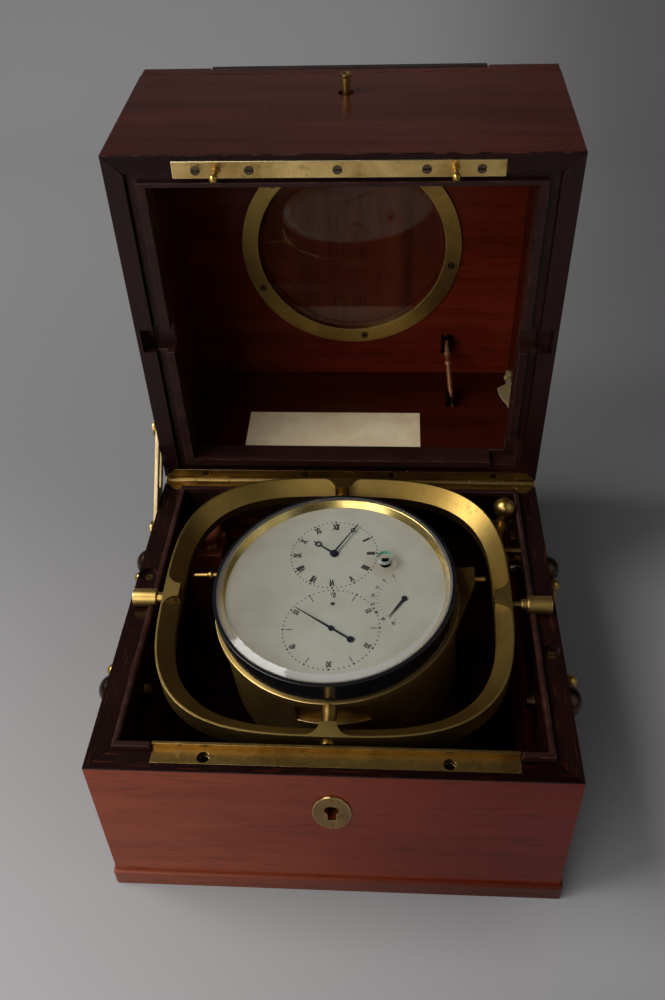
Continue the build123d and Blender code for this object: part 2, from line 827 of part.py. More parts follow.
# Lining inside the lid's rim: a full strip above and a thinner bead that hangs inside the lip
bead_x = inner_x - clearance
bead_front = inner_front + clearance
bead_rear = inner_rear - clearance
lining_x = bead_x - lining_side
lining_front_y = bead_front + lining_front
lining_rear_y = bead_rear - lining_rear
lining_top = lid_rim + lining_height


def lid_lining():
    lip_ceiling = rim_height + lip_height + lip_room
    with BuildPart(Plane(lid_frame)) as lining:
        block((-lid_inner_x, lid_inner_x), (lid_inner_front, lid_inner_rear), (lip_ceiling, lining_top))
        block((-bead_x, bead_x), (bead_front, bead_rear), (lid_rim, lip_ceiling))
        block((-lining_x, lining_x), (lining_front_y, lining_rear_y), (lid_rim, lining_top), Mode.SUBTRACT)
        bearing_notch(-1)
        bearing_notch(1)
        knob_x = lever_place[0] - lever_ball - 1
        knob_y = lever_place[1] - lever_ball - 1
        block((knob_x, bead_x + 1), (knob_y, bead_rear), (lid_rim, rim_height + 10), Mode.SUBTRACT)
    save(lining, "lid_lining")


pane_top = lid_ceiling + pane_thickness + 0.2
recess_floor = lid_top - flap_recess
flap_z = (recess_floor + flap_lift, recess_floor + flap_lift + flap_height)
flap_edge_thickness = 1
flap_hinge_y = flap_rear + 2.2
flap_hinge_z = lid_top + 1.9
flap_leaf = 1
fixed_leaf_width = 6
catch_slot = (
    (-bar_half_width - 1, bar_half_width + 1),
    (
        lid_inner_front - hook_reach - button_travel,
        lid_inner_front + clearance + bar_thickness + button_travel + lip_room,
    ),
)


def lid_top_board():
    with BuildPart(Plane(lid_frame)) as board:
        block((-half_width, half_width), (-half_depth, half_depth), (lid_ceiling, lid_top))
        window = (0, window_set_back)
        rod("z", (lid_ceiling, pane_top), pane_radius + 0.2, window, Mode.SUBTRACT)
        rod("z", (pane_top, lid_top), window_radius - 1, window, Mode.SUBTRACT)
        block(
            (-flap_half_width - lip_room, flap_half_width + lip_room),
            (-half_depth, flap_rear + flap_leaf + lip_room),
            (recess_floor, lid_top),
            Mode.SUBTRACT,
        )
        block(*catch_slot, (lid_ceiling, recess_floor), Mode.SUBTRACT)
        screws(ring_screws, screw_length, Mode.SUBTRACT)
    save(board, "lid_top_board")


def window():
    place = (0, window_set_back)
    with BuildPart(Plane(lid_frame)) as ring:
        rod("z", (ring_screw_z, lid_ceiling), window_ring_radius, place)
        rod("z", (ring_screw_z, lid_ceiling), window_radius, place, Mode.SUBTRACT)
        screws(ring_screws, screw_length, Mode.SUBTRACT)
    save(ring, "window_ring")
    with BuildPart(Plane(lid_frame)) as pane:
        rod("z", (lid_ceiling, lid_ceiling + pane_thickness), pane_radius, place)
    save(pane, "window_glass")


def catch_parts():
    z = (lid_rim, lid_rim + lock_plate_thickness)
    with BuildPart(Plane(lid_frame)) as plate:
        block(catch_plate_x, catch_plate_y, z)
        screws(catch_screws, screw_length, Mode.SUBTRACT)
        for x in catch_pin_x:
            rod("z", z, catch_pin_waist, (x, catch_y), Mode.SUBTRACT)
    save(plate, "catch_plate")
    tip = lid_rim - catch_pin_length
    with BuildPart(Plane(lid_frame)) as pins:
        for x in catch_pin_x:
            rod("z", (tip + 1.5, lid_rim + 5), catch_pin_waist, (x, catch_y))
            with Locations((x, catch_y, tip + catch_pin_tip)):
                Sphere(catch_pin_tip)
            rod("z", (bolt_top + 0.8, lid_rim), catch_pin_tip, (x, catch_y))
    save(pins, "catch_pins")


def lid_screws():
    with BuildPart(Plane(lid_frame)) as group:
        screws(lid_hinge_screws + catch_screws + ring_screws, screw_length)
    save(group, "lid_screws")


def paper_label():
    with BuildPart(Plane(lid_frame)) as label:
        block((label_left, label_left + label_width), (lid_inner_rear - 0.3, lid_inner_rear), label_z)
    save(label, "paper_label")


# Winding key across the rear corner, and the two open clips that hold it
def key_parts():
    top = Vector(*key_top)
    foot = Vector(*key_foot)
    along = (foot - top).normalized()
    across = Vector(1, 0, 0)
    key_plane = Plane(origin=key_top, x_dir=across, z_dir=along)
    length = (foot - top).length
    with BuildPart(in_frame(lid_frame, key_plane)) as key:
        rod("z", (-1, length + 1), key_radius, (0, 0))
        with Locations((0, 0, length * key_ball_place)):
            Sphere(2.1)
        with Locations((0, 0, 6.5)):
            Cylinder(2, 2)
    save(key, "winding_key")
    slot = key_radius + running_fit
    with BuildPart(Plane(lid_frame)) as clips:
        across = (top.X - key_clip_half, top.X + key_clip_half)
        block(across, (top.Y - key_clip_half, top.Y + key_clip_rear), (top.Z - key_clip_drop, lid_ceiling))
        across = (foot.X - key_clip_half, foot.X + key_clip_half)
        foot_z = (foot.Z - key_foot_drop, foot.Z + key_foot_rise)
        block(across, (foot.Y - key_clip_drop, lid_inner_rear), foot_z)
    with BuildPart(in_frame(lid_frame, key_plane)) as groove:
        rod("z", (-key_groove_end, length + key_groove_end), slot, (0, 0))
        # The open side faces the middle of the lid, where the key comes out
        block((-slot, slot), (0, 3 * key_clip_rear), (-key_groove_end, length + key_groove_end))
    with BuildPart() as held:
        add(clips.part)
        add(groove.part, mode=Mode.SUBTRACT)
    save(held, "key_clips")


# Brass clip on the right wall of the lid, with a lobe, three pins and a leaf-shaped thumb piece
def side_clip():
    x = (lid_inner_x - clip_thickness, lid_inner_x)
    y = clip_middle
    upper_lobe = clip_span[1] - clip_pin_inset
    pins = (clip_span[0] + clip_pin_inset, clip_span[0] + clip_pin_inset + clip_pin_spacing, upper_lobe)
    slot_top = upper_lobe - clip_lobe + clip_slot_width / 2
    slot_length = slot_top - clip_span[0]
    thumb_corners = [(x[0] - reach, clip_span[0] + thumb_rise + rise) for reach, rise in thumb_outline]
    thumb_y = y - clip_slot_width / 2 + thumb_thickness
    with BuildPart(Plane(lid_frame)) as clip:
        with BuildSketch(in_frame(lid_frame, Plane.YZ.offset(x[0]))):
            with Locations((y, upper_lobe)):
                Circle(clip_lobe)
            with Locations((y, (clip_span[0] + slot_top) / 2)):
                SlotOverall(slot_length, clip_slot_width, rotation=90)
        extrude(amount=clip_thickness)
        for z in pins:
            rod("x", (x[0] - clip_pin_head, x[0]), clip_pin_radius, (y, z))
        with BuildSketch(in_frame(lid_frame, Plane.XZ.offset(-thumb_y))):
            Polygon(*thumb_corners, align=None)
        extrude(amount=thumb_thickness)
    save(clip, "side_clip")


# Flap over the window, hinged at the rear of the lid's top, and the sprung button that frees it
def flap():
    front = -half_depth + flap_edge_thickness
    with BuildPart(Plane(lid_frame)) as panel:
        block((-flap_half_width, flap_half_width), (front, flap_rear), flap_z)
        block(catch_slot[0], catch_slot[1], (flap_z[0], flap_z[0] + 2.6), Mode.SUBTRACT)
    save(panel, "flap_panel")
    with BuildPart(Plane(lid_frame)) as edge:
        block((-flap_half_width, flap_half_width), (-half_depth, front), (flap_z[0] + 0.4, flap_z[1] - 0.4))
    save(edge, "flap_edge")
    end = flap_half_width - 3
    pivot = (flap_hinge_y, flap_hinge_z)
    outer = ((-end, -end / 3 - 0.15), (end / 3 + 0.15, end))
    middle = (-end / 3 + 0.15, end / 3 - 0.15)
    fixed_leaf_y = (flap_hinge_y + 2, flap_hinge_y + 2 + fixed_leaf_width)
    with BuildPart(Plane(lid_frame)) as fixed:
        for span in outer:
            rod("x", span, flap_knuckle, pivot)
            block(span, (flap_hinge_y, fixed_leaf_y[0] + 1), (lid_top, lid_top + flap_leaf))
        block((-end, end), fixed_leaf_y, (lid_top, lid_top + flap_leaf))
        rod("x", (-end, end), flap_pin, pivot)
    save(fixed, "flap_hinge_fixed")
    with BuildPart(Plane(lid_frame)) as moving:
        block((-end, end), (flap_rear, flap_rear + flap_leaf), flap_z)
        rod("x", middle, flap_knuckle, pivot)
        block(middle, (flap_rear, flap_hinge_y), (flap_z[1] - 1.2, flap_z[1]))
        rod("x", middle, flap_pin + running_fit, pivot, Mode.SUBTRACT)
        for span in outer:
            wide = (span[0] - clearance, span[1] + clearance)
            rod("x", wide, flap_knuckle + clearance, pivot, Mode.SUBTRACT)
    save(moving, "flap_hinge_moving")
    head = (-half_depth - button_stand - button_head, -half_depth - button_stand)
    bar_y = (lid_inner_front + clearance, lid_inner_front + clearance + bar_thickness)
    hook_top = flap_z[0] + hook_rise
    with BuildPart(Plane(lid_frame)) as button:
        rod("y", head, button_radius, (0, button_z))
        with Locations(Location((0, head[0] - 1.9, button_z))):
            Sphere(2.4, mode=Mode.SUBTRACT)
        rod("y", (-half_depth - collar_reach[1], -half_depth - collar_reach[0]), button_collar, (0, button_z))
        rod("y", (head[1], bar_y[1]), button_shaft, (0, button_z))
        bar_x = (-bar_half_width, bar_half_width)
        block(bar_x, bar_y, (button_z - bar_half_width, hook_top))
        block(bar_x, (bar_y[0] - hook_reach, bar_y[1]), (hook_top - hook_thickness, hook_top))
    save(button, "flap_button")


# Gimbal ring: a rounded square whose inner half slopes down, with four level bosses that carry the pivots
def superellipse(a, b):
    points = []
    steps = 48
    for step in range(steps):
        angle = 2 * math.pi * step / steps
        x = math.copysign(abs(math.cos(angle)) ** (2 / ring_power), math.cos(angle))
        y = math.copysign(abs(math.sin(angle)) ** (2 / ring_power), math.sin(angle))
        points.append((a * x, b * y))
    return points


def ring_face(inset, height):
    with BuildSketch(in_frame(ring_frame, Plane.XY.offset(height))) as face:
        with BuildLine():
            Spline(*superellipse(ring_half_width - inset, ring_half_depth - inset), periodic=True)
        make_face()
    return face.sketch


# Plan of the bosses, whose flanks flare out to the ring in quarter circles
def boss_plan(height):
    flare = ring_width - ring_edge
    with BuildSketch(in_frame(ring_frame, Plane.XY.offset(height))) as plan:
        for turn, reach in ((0, ring_half_width), (90, ring_half_depth)):
            tip = reach - ring_width - 1
            for half_turn in (0, 180):
                with Locations(Location((0, 0), (0, 0, turn + half_turn))):
                    half = boss_tip + flare
                    Polygon((tip, -half), (reach + 1, -half), (reach + 1, half), (tip, half), align=None)
                    for sign in (-1, 1):
                        with Locations((tip + 1, sign * half)):
                            Circle(flare, mode=Mode.SUBTRACT)
    return plan.sketch


def gimbal_ring():
    bottom = ring_top - ring_height
    rise = (ring_width - ring_edge) / ring_slope
    with BuildPart() as hollow:
        loft([ring_face(ring_width, ring_top - ring_slope), ring_face(ring_edge - rise, ring_top + 1)])
        extrude(boss_plan(bottom), amount=2 * ring_height, mode=Mode.SUBTRACT)
    with BuildPart() as ring:
        extrude(ring_face(0, bottom), amount=ring_height)
        extrude(ring_face(ring_width, bottom), amount=ring_height, mode=Mode.SUBTRACT)
        add(hollow.part, mode=Mode.SUBTRACT)
        with Locations(ring_frame):
            for sign in (-1, 1):
                side = sorted((sign * (ring_half_width - ring_width - 1), sign * (ring_half_width + 1)))
                rod("x", side, pivot_radius, (0, 0), Mode.SUBTRACT)
                end = sorted((sign * (ring_half_depth - ring_width - 1), sign * (ring_half_depth + 1)))
                rod("y", end, stud_radius, (0, 0), Mode.SUBTRACT)
    save(ring, "gimbal_ring")


def ring_pivots():
    with BuildPart(Plane(ring_frame)) as pivots:
        for sign in (-1, 1):
            end = sign * (bearing_span[1] - 2 * bearing_end_wall) - ring_shift
            rod("x", sorted((sign * (ring_half_width - ring_width), end)), pivot_radius, (0, 0))
            stud = sorted((sign * stud_end, sign * (ring_half_depth + 0.7)))
            rod("y", stud, stud_radius, (0, 0))
            rod("y", sorted((sign * (bowl_radius - 4), sign * stud_end)), bowl_pivot_radius, (0, 0))
    save(pivots, "ring_pivots")


# Bowl that holds the works, with its dark band, bezel, glass and dial
def bowl_shell():
    with BuildPart(Plane(bowl_frame)) as shell:
        rod("z", (-bowl_depth, flange_span[1]), bowl_radius, (0, 0))
        fillet(shell.edges().filter_by(GeomType.CIRCLE).group_by(Axis((0, 0, 0), bowl_axis))[0], 10)
        rod("z", flange_span, flange_radius, (0, 0))
        inner = bowl_radius - bowl_wall
        rod("z", (-bowl_depth + bowl_floor, flange_span[1]), inner, (0, 0), Mode.SUBTRACT)
        notch_x = (-notch_width / 2, notch_width / 2)
        for sign in (-1, 1):
            notch = sorted((sign * notch_flat, sign * (bowl_radius + 2)))
            block(notch_x, notch, (-notch_drop, flange_span[0]), Mode.SUBTRACT)
            bore = sorted((sign * (inner + 0.6), sign * (flange_radius + 1)))
            rod("y", bore, bowl_pivot_radius + running_fit, (0, 0), Mode.SUBTRACT)
    save(shell, "bowl_shell")


bowl_axis = Plane(bowl_frame).z_dir


rim_inside = band_radius - band_wall
lens_radius = rim_inside - running_fit


def bowl_rings():
    with BuildPart(Plane(bowl_frame)) as band:
        rod("z", (flange_span[1], band_top), band_radius, (0, 0))
        rod("z", (flange_span[1], band_top), rim_inside, (0, 0), Mode.SUBTRACT)
    save(band, "bowl_band")
    with BuildPart(Plane(bowl_frame)) as bezel:
        with BuildSketch(in_frame(bowl_frame, Plane.XZ)):
            Polygon(
                (dial_view_radius, dial_height),
                (lens_radius, dial_height),
                (lens_radius, glass_underside),
                (lens_radius - bezel_ledge, glass_underside),
                align=None,
            )
        revolve(axis=Axis(Plane(bowl_frame).origin, bowl_axis))
    save(bezel, "bezel")
    glass_top = glass_underside + glass_thickness
    with BuildPart(Plane(bowl_frame)) as pane:
        with BuildSketch(in_frame(bowl_frame, Plane.XZ)):
            Polygon(
                (0, glass_underside),
                (lens_radius, glass_underside),
                (lens_radius, glass_top - glass_bevel_drop),
                (lens_radius - glass_bevel_width, glass_top),
                (0, glass_top),
                align=None,
            )
        revolve(axis=Axis(Plane(bowl_frame).origin, bowl_axis))
        rod("z", (glass_underside, glass_top), winding_hole, winding_place, Mode.SUBTRACT)
    save(pane, "dial_glass")


def dial():
    under = dial_height - dial_thickness
    with BuildPart(Plane(bowl_frame)) as face:
        rod("z", (plate_top, dial_height), lens_radius, (0, 0))
        rod("z", (plate_top, under), lens_radius - 1.5, (0, 0), Mode.SUBTRACT)
        rod("z", (under, dial_height), hour_pipe + clearance, time_hub, Mode.SUBTRACT)
        rod("z", (under, dial_height), 1.1, seconds_hub, Mode.SUBTRACT)
        rod("z", (under, dial_height), 1.1, reserve_hub, Mode.SUBTRACT)
        rod("z", (under, dial_height), arbor_hole, winding_place, Mode.SUBTRACT)
    save(face, "dial")


# A hand with an open loop, a pointed tip and its arbor, all about its own hub
def hand(name, hub, tip, height, loop, arbor, foot, bore=0, ball=0):
    length = math.dist(hub, tip)
    angle = math.degrees(math.atan2(tip[1] - hub[1], tip[0] - hub[0]))
    loop_place, loop_radius, stem = loop
    with BuildPart(Plane(bowl_frame)) as pointer:
        with BuildSketch(in_frame(bowl_frame, Plane.XY.offset(height))):
            with Locations(Location(hub, (0, 0, angle))):
                Polygon((0, -stem), (length, -0.12), (length, 0.12), (0, stem), align=None)
                Circle(arbor + hub_rim)
                if loop_radius:
                    with Locations((length * loop_place, 0)):
                        Circle(loop_radius)
                        Circle(loop_radius - 0.5, mode=Mode.SUBTRACT)
                if ball:
                    Polygon((0, -0.45), (-ball, -0.45), (-ball, 0.45), (0, 0.45), align=None)
                    with Locations((-ball, 0)):
                        Circle(1.5)
        extrude(amount=hand_thickness)
        rod("z", (foot, height + hand_thickness), arbor, hub)
        if bore:
            rod("z", (foot, height + hand_thickness), bore, hub, Mode.SUBTRACT)
    save(pointer, name)


plate_top = flange_span[1] + movement_plate
arbor_foot = 0
minute_arbor = 0.8
small_arbor = 0.6


def hands():
    pipe_bore = minute_arbor + 0.1
    hand("hour_hand", time_hub, hour_tip, 10, (0.78, 1.5, 0.55), hour_pipe, plate_top + 0.3, bore=pipe_bore)
    hand("minute_hand", time_hub, minute_tip, 10.8, (0.79, 1, 0.45), minute_arbor, arbor_foot)
    hand("seconds_hand", seconds_hub, seconds_tip, 10, (0, 0, 0.5), small_arbor, arbor_foot, ball=10.3)
    hand("reserve_hand", reserve_hub, reserve_tip, 10, (0, 0, 0.6), small_arbor, arbor_foot)


# Works: two plates and their pillars, the wound barrel and the balance below
pillar_angles = (75, 165, 255, 345)
pillar_circle = 40.5
barrel_arbor = 2.5
balance_z = (-41, -38.5)
cock_z = (-47.5, -45)


def movement():
    inner = bowl_radius - bowl_wall
    lower = (movement_floor, movement_floor + movement_plate)
    upper = (plate_top - movement_plate, plate_top)
    with BuildPart(Plane(bowl_frame)) as frame:
        rod("z", lower, inner - 2, (0, 0))
        rod("z", upper, lens_radius, (0, 0))
        for angle in pillar_angles:
            x = pillar_circle * math.cos(math.radians(angle))
            y = pillar_circle * math.sin(math.radians(angle))
            rod("z", (lower[1], upper[0]), 2.5, (x, y))
        x, y = balance_place
        foot_y = y - balance_radius - 4
        rod("z", (cock_z[0], lower[0]), 3, (x, foot_y))
        block((x - 3, x + 3), (foot_y, y + 3), cock_z)
        for z, radius, place in (
            (lower, barrel_arbor, winding_place),
            (upper, barrel_arbor, winding_place),
            (upper, minute_arbor, time_hub),
            (upper, small_arbor, seconds_hub),
            (upper, small_arbor, reserve_hub),
            (lower, small_arbor, balance_place),
            (cock_z, small_arbor, balance_place),
        ):
            rod("z", z, radius + running_fit, place, Mode.SUBTRACT)
    save(frame, "movement_frame")
    with BuildPart(Plane(bowl_frame)) as barrel:
        rod("z", (barrel_floor, -1), barrel_radius, winding_place)
        rod("z", (movement_floor, dial_height - 1.5), barrel_arbor, winding_place)
        with Locations((winding_place[0], winding_place[1], dial_height)):
            Box(3, 3, 4)
    save(barrel, "barrel")
    with BuildPart(Plane(bowl_frame)) as balance:
        rod("z", balance_z, balance_radius, balance_place)
        rod("z", balance_z, balance_radius - 2, balance_place, Mode.SUBTRACT)
        x, y = balance_place
        block((x - balance_radius + 1, x + balance_radius - 1), (y - 1.2, y + 1.2), balance_z)
        rod("z", (cock_z[0] + 0.5, movement_floor + 2), small_arbor, balance_place)
    save(balance, "balance")


# Ear on the right of the flange, and the thin rod with a bead on the left
def bowl_side_fittings():
    low = flange_span[0]
    with BuildPart(Plane(bowl_frame)) as fittings:
        with BuildSketch(in_frame(bowl_frame, Plane.XY.offset(low))):
            Polygon(*ear_outline, align=None)
            Circle(flange_radius, mode=Mode.SUBTRACT)
        extrude(amount=2.2)
        ear_end = ear_outline[1][0]
        rod("x", (ear_end - 1.5, ear_end + stub_length), 1.1, (11.5, low + 1.1))
        rod_start = -math.sqrt(flange_radius**2 - side_rod_y**2) - 0.6
        rod("x", (rod_start - side_rod_length, rod_start), 1.1, (side_rod_y, low + 1.1))
        with Locations((rod_start - side_rod_length / 2, side_rod_y, low + 1.1)):
            Sphere(1.9)
    save(fittings, "bowl_side_fittings")


base_board()
base_front_wall()
base_rear_wall()
base_side_wall("left", -1)
base_side_wall("right", 1)
dust_lip()
hinge()
lock()
gimbal_bearings()
base_screws()
handle_posts()
bail("left_bail", -1)
bail("right_bail", 1)
gimbal_lock()
corner_post()
lid_stay()
lid_walls()
lid_lining()
lid_top_board()
window()
catch_parts()
lid_screws()
paper_label()
key_parts()
side_clip()
flap()
gimbal_ring()
ring_pivots()
bowl_shell()
bowl_rings()
dial()
hands()
movement()
bowl_side_fittings()
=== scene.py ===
import bpy
import bmesh
import math
from mathutils import Matrix, Vector
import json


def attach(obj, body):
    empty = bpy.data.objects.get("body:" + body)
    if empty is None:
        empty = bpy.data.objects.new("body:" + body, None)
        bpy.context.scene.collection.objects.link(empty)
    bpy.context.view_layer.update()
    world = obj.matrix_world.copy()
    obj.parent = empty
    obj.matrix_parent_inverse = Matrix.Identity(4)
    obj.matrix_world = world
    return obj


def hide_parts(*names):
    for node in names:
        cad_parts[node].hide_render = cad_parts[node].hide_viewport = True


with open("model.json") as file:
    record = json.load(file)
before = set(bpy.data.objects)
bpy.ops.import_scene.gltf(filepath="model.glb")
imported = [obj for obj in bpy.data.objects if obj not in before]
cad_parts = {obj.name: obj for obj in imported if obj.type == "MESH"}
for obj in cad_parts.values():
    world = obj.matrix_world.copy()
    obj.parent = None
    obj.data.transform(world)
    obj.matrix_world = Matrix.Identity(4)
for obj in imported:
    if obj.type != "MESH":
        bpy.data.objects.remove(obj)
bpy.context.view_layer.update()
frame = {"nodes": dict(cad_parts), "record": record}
record = frame["record"]
bodyOf = {node: body for body, nodes in record["behaviour"]["bodies"].items() for node in nodes}
print("frame loaded,", len(frame["nodes"]), "nodes")


# Camera at the photograph's angle
lens = {
    "place": (0.020617, -0.288519, 0.395188), "turn": (0.8625191783, 0.0284963766, 0.0531193378),
    "length": 34.066, "film": 36, "nearest": 0.01,
}
cameraData = bpy.data.cameras.new("camera")
cameraData.lens = lens["length"]
cameraData.sensor_width = lens["film"]
cameraData.clip_start = lens["nearest"]
camera = bpy.data.objects.new("camera", cameraData)
camera.location = lens["place"]
camera.rotation_euler = lens["turn"]
bpy.context.scene.collection.objects.link(camera)
bpy.context.scene.camera = camera
bpy.context.scene.view_settings.view_transform = "Standard"


# Shader maths: a Wire wraps one socket, and its operators add the Math nodes
class Wire:
    def __init__(self, finish, socket):
        self.finish = finish
        self.socket = socket

    def maths(self, operation, first, second=None):
        return self.finish.node("ShaderNodeMath", {"operation": operation}, [first, second])

    def __add__(self, other):
        return self.maths("ADD", self, other)

    def __radd__(self, other):
        return self.maths("ADD", other, self)

    def __sub__(self, other):
        return self.maths("SUBTRACT", self, other)

    def __rsub__(self, other):
        return self.maths("SUBTRACT", other, self)

    def __mul__(self, other):
        return self.maths("MULTIPLY", self, other)

    def __rmul__(self, other):
        return self.maths("MULTIPLY", other, self)

    def __pow__(self, power):
        return self.maths("POWER", self, power)

    def __abs__(self):
        return self.maths("ABSOLUTE", self)

    def above(self, limit):
        return self.maths("GREATER_THAN", self, limit)

    def below(self, limit):
        return self.maths("LESS_THAN", self, limit)

    def between(self, low, high):
        return self.above(low) * self.below(high)

    def soft(self, low, high, start=0.0, end=1.0):
        settings = {"interpolation_type": "SMOOTHSTEP"}
        return self.finish.node("ShaderNodeMapRange", settings, [self, low, high, start, end])


# One finish is a material, and its node method makes every node
class Finish:
    def __init__(self, name):
        self.material = bpy.data.materials.new(name)
        self.material.use_nodes = True
        self.tree = self.material.node_tree
        self.shader = self.tree.nodes["Principled BSDF"]
        self.output = self.tree.nodes["Material Output"]
        self.place = self.node("ShaderNodeTexCoord", out="Object")

    def node(self, kind, settings=None, sockets=None, out=0):
        made = self.tree.nodes.new(kind)
        for key, value in (settings or {}).items():
            if key == "stops":
                self.setStops(made.color_ramp, value)
            else:
                setattr(made, key, value)
        rows = enumerate(sockets) if isinstance(sockets, list) else (sockets or {}).items()
        for key, value in rows:
            if value is not None:
                self.feed(made.inputs[key], value)
        return Wire(self, made.outputs[out])

    def setStops(self, ramp, stops):
        for index, (position, colour) in enumerate(stops):
            stop = ramp.elements[index] if index < 2 else ramp.elements.new(position)
            stop.position = position
            stop.color = (*colour, 1.0)

    def feed(self, socket, value):
        if isinstance(value, Wire):
            self.tree.links.new(value.socket, socket)
        elif socket.type == "RGBA" and len(value) == 3:
            socket.default_value = (*value, 1.0)
        else:
            socket.default_value = value

    # A place that is scaled, then turned, then shifted. One number scales all three ways alike
    def mapped(self, scale=1, turn=(0, 0, 0), shift=(0, 0, 0), source=None):
        if not isinstance(scale, tuple):
            scale = (scale, scale, scale)
        sockets = {"Vector": source or self.place, "Scale": scale, "Rotation": turn, "Location": shift}
        return self.node("ShaderNodeMapping", None, sockets)

    def noise(self, vector, scale=1.0, detail=3.0, rough=0.55, twist=0.0):
        sockets = {
            "Vector": vector, "Scale": scale, "Detail": detail, "Roughness": rough, "Distortion": twist,
        }
        return self.node("ShaderNodeTexNoise", None, sockets)

    def parts(self, vector):
        return [self.node("ShaderNodeSeparateXYZ", None, [vector], index) for index in range(3)]

    def reach(self, centre):
        return self.node("ShaderNodeVectorMath", {"operation": "DISTANCE"}, [self.place, centre], "Value")

    def ramp(self, value, *stops):
        return self.node("ShaderNodeValToRGB", {"stops": stops}, [value])

    def mix(self, share, first, second, blend="MIX"):
        settings = {"data_type": "RGBA", "blend_type": blend}
        return self.node("ShaderNodeMix", settings, {0: share, 6: first, 7: second}, 2)

    def tinted(self, share, colour, tint):
        return self.mix(share, colour, self.mix(1.0, colour, tint, "MULTIPLY"))

    def layered(self, share, first, second):
        return self.node("ShaderNodeMixShader", None, [share, first, second])

    def bump(self, height, strength, distance):
        sockets = {"Height": height, "Strength": strength, "Distance": distance}
        return self.node("ShaderNodeBump", None, sockets)

    def wear(self):
        return self.node("ShaderNodeAttribute", {"attribute_name": "edgeWear"}, None, "Fac")

    def finished(self, **sockets):
        for name, value in sockets.items():
            self.feed(self.shader.inputs[name.replace("_", " ")], value)
        return self.material

    def surface(self, wire):
        self.feed(self.output.inputs["Surface"], wire)
        return self.material


# The lid stands open, so the grain of its pieces is read as if it were closed
lidTurn = math.radians(86.5)
hingeLine = Vector((0, 0.0871, 0.0852))
lidShift = hingeLine - Matrix.Rotation(lidTurn, 3, "X") @ hingeLine

# What all the wood shares. Grain is how many times finer than the wood's own grain a noise runs
timber = {
    "waver": {"scale": 9, "push": 0.9},
    "fibres": {"share": 0.30, "rough": 0.08},
    "figure": {"share": 0.42, "grain": 0.16},
    "stripe": {"share": 0.38, "grain": 0.45},
    "pores": {"share": 0.45, "tone": 0.45, "grain": 5.2, "limits": (0.60, 0.72), "depth": 0.8},
    "steps": {"dark": 0.34, "middle": 0.54, "light": 0.76},
    "rubbedAndHighlit": {"scale": 160, "limits": (0.42, 0.66), "rough": 0.2},
    "marks": {
        "scale": 14, "shift": (3, 1, 2), "limits": (0.55, 0.78), "share": 0.28, "tone": 0.6, "rough": 0.12,
    },
    "mottle": {"scale": 55, "share": 0.6, "limits": (0.35, 0.75), "lighter": 1.9},
    "skin": 0.0004, "outerX": 0.0947, "outerY": 0.0862, "relief": 0.0004, "polishRough": 0.2,
}


def toned(colour, share):
    return tuple(part * share for part in colour)


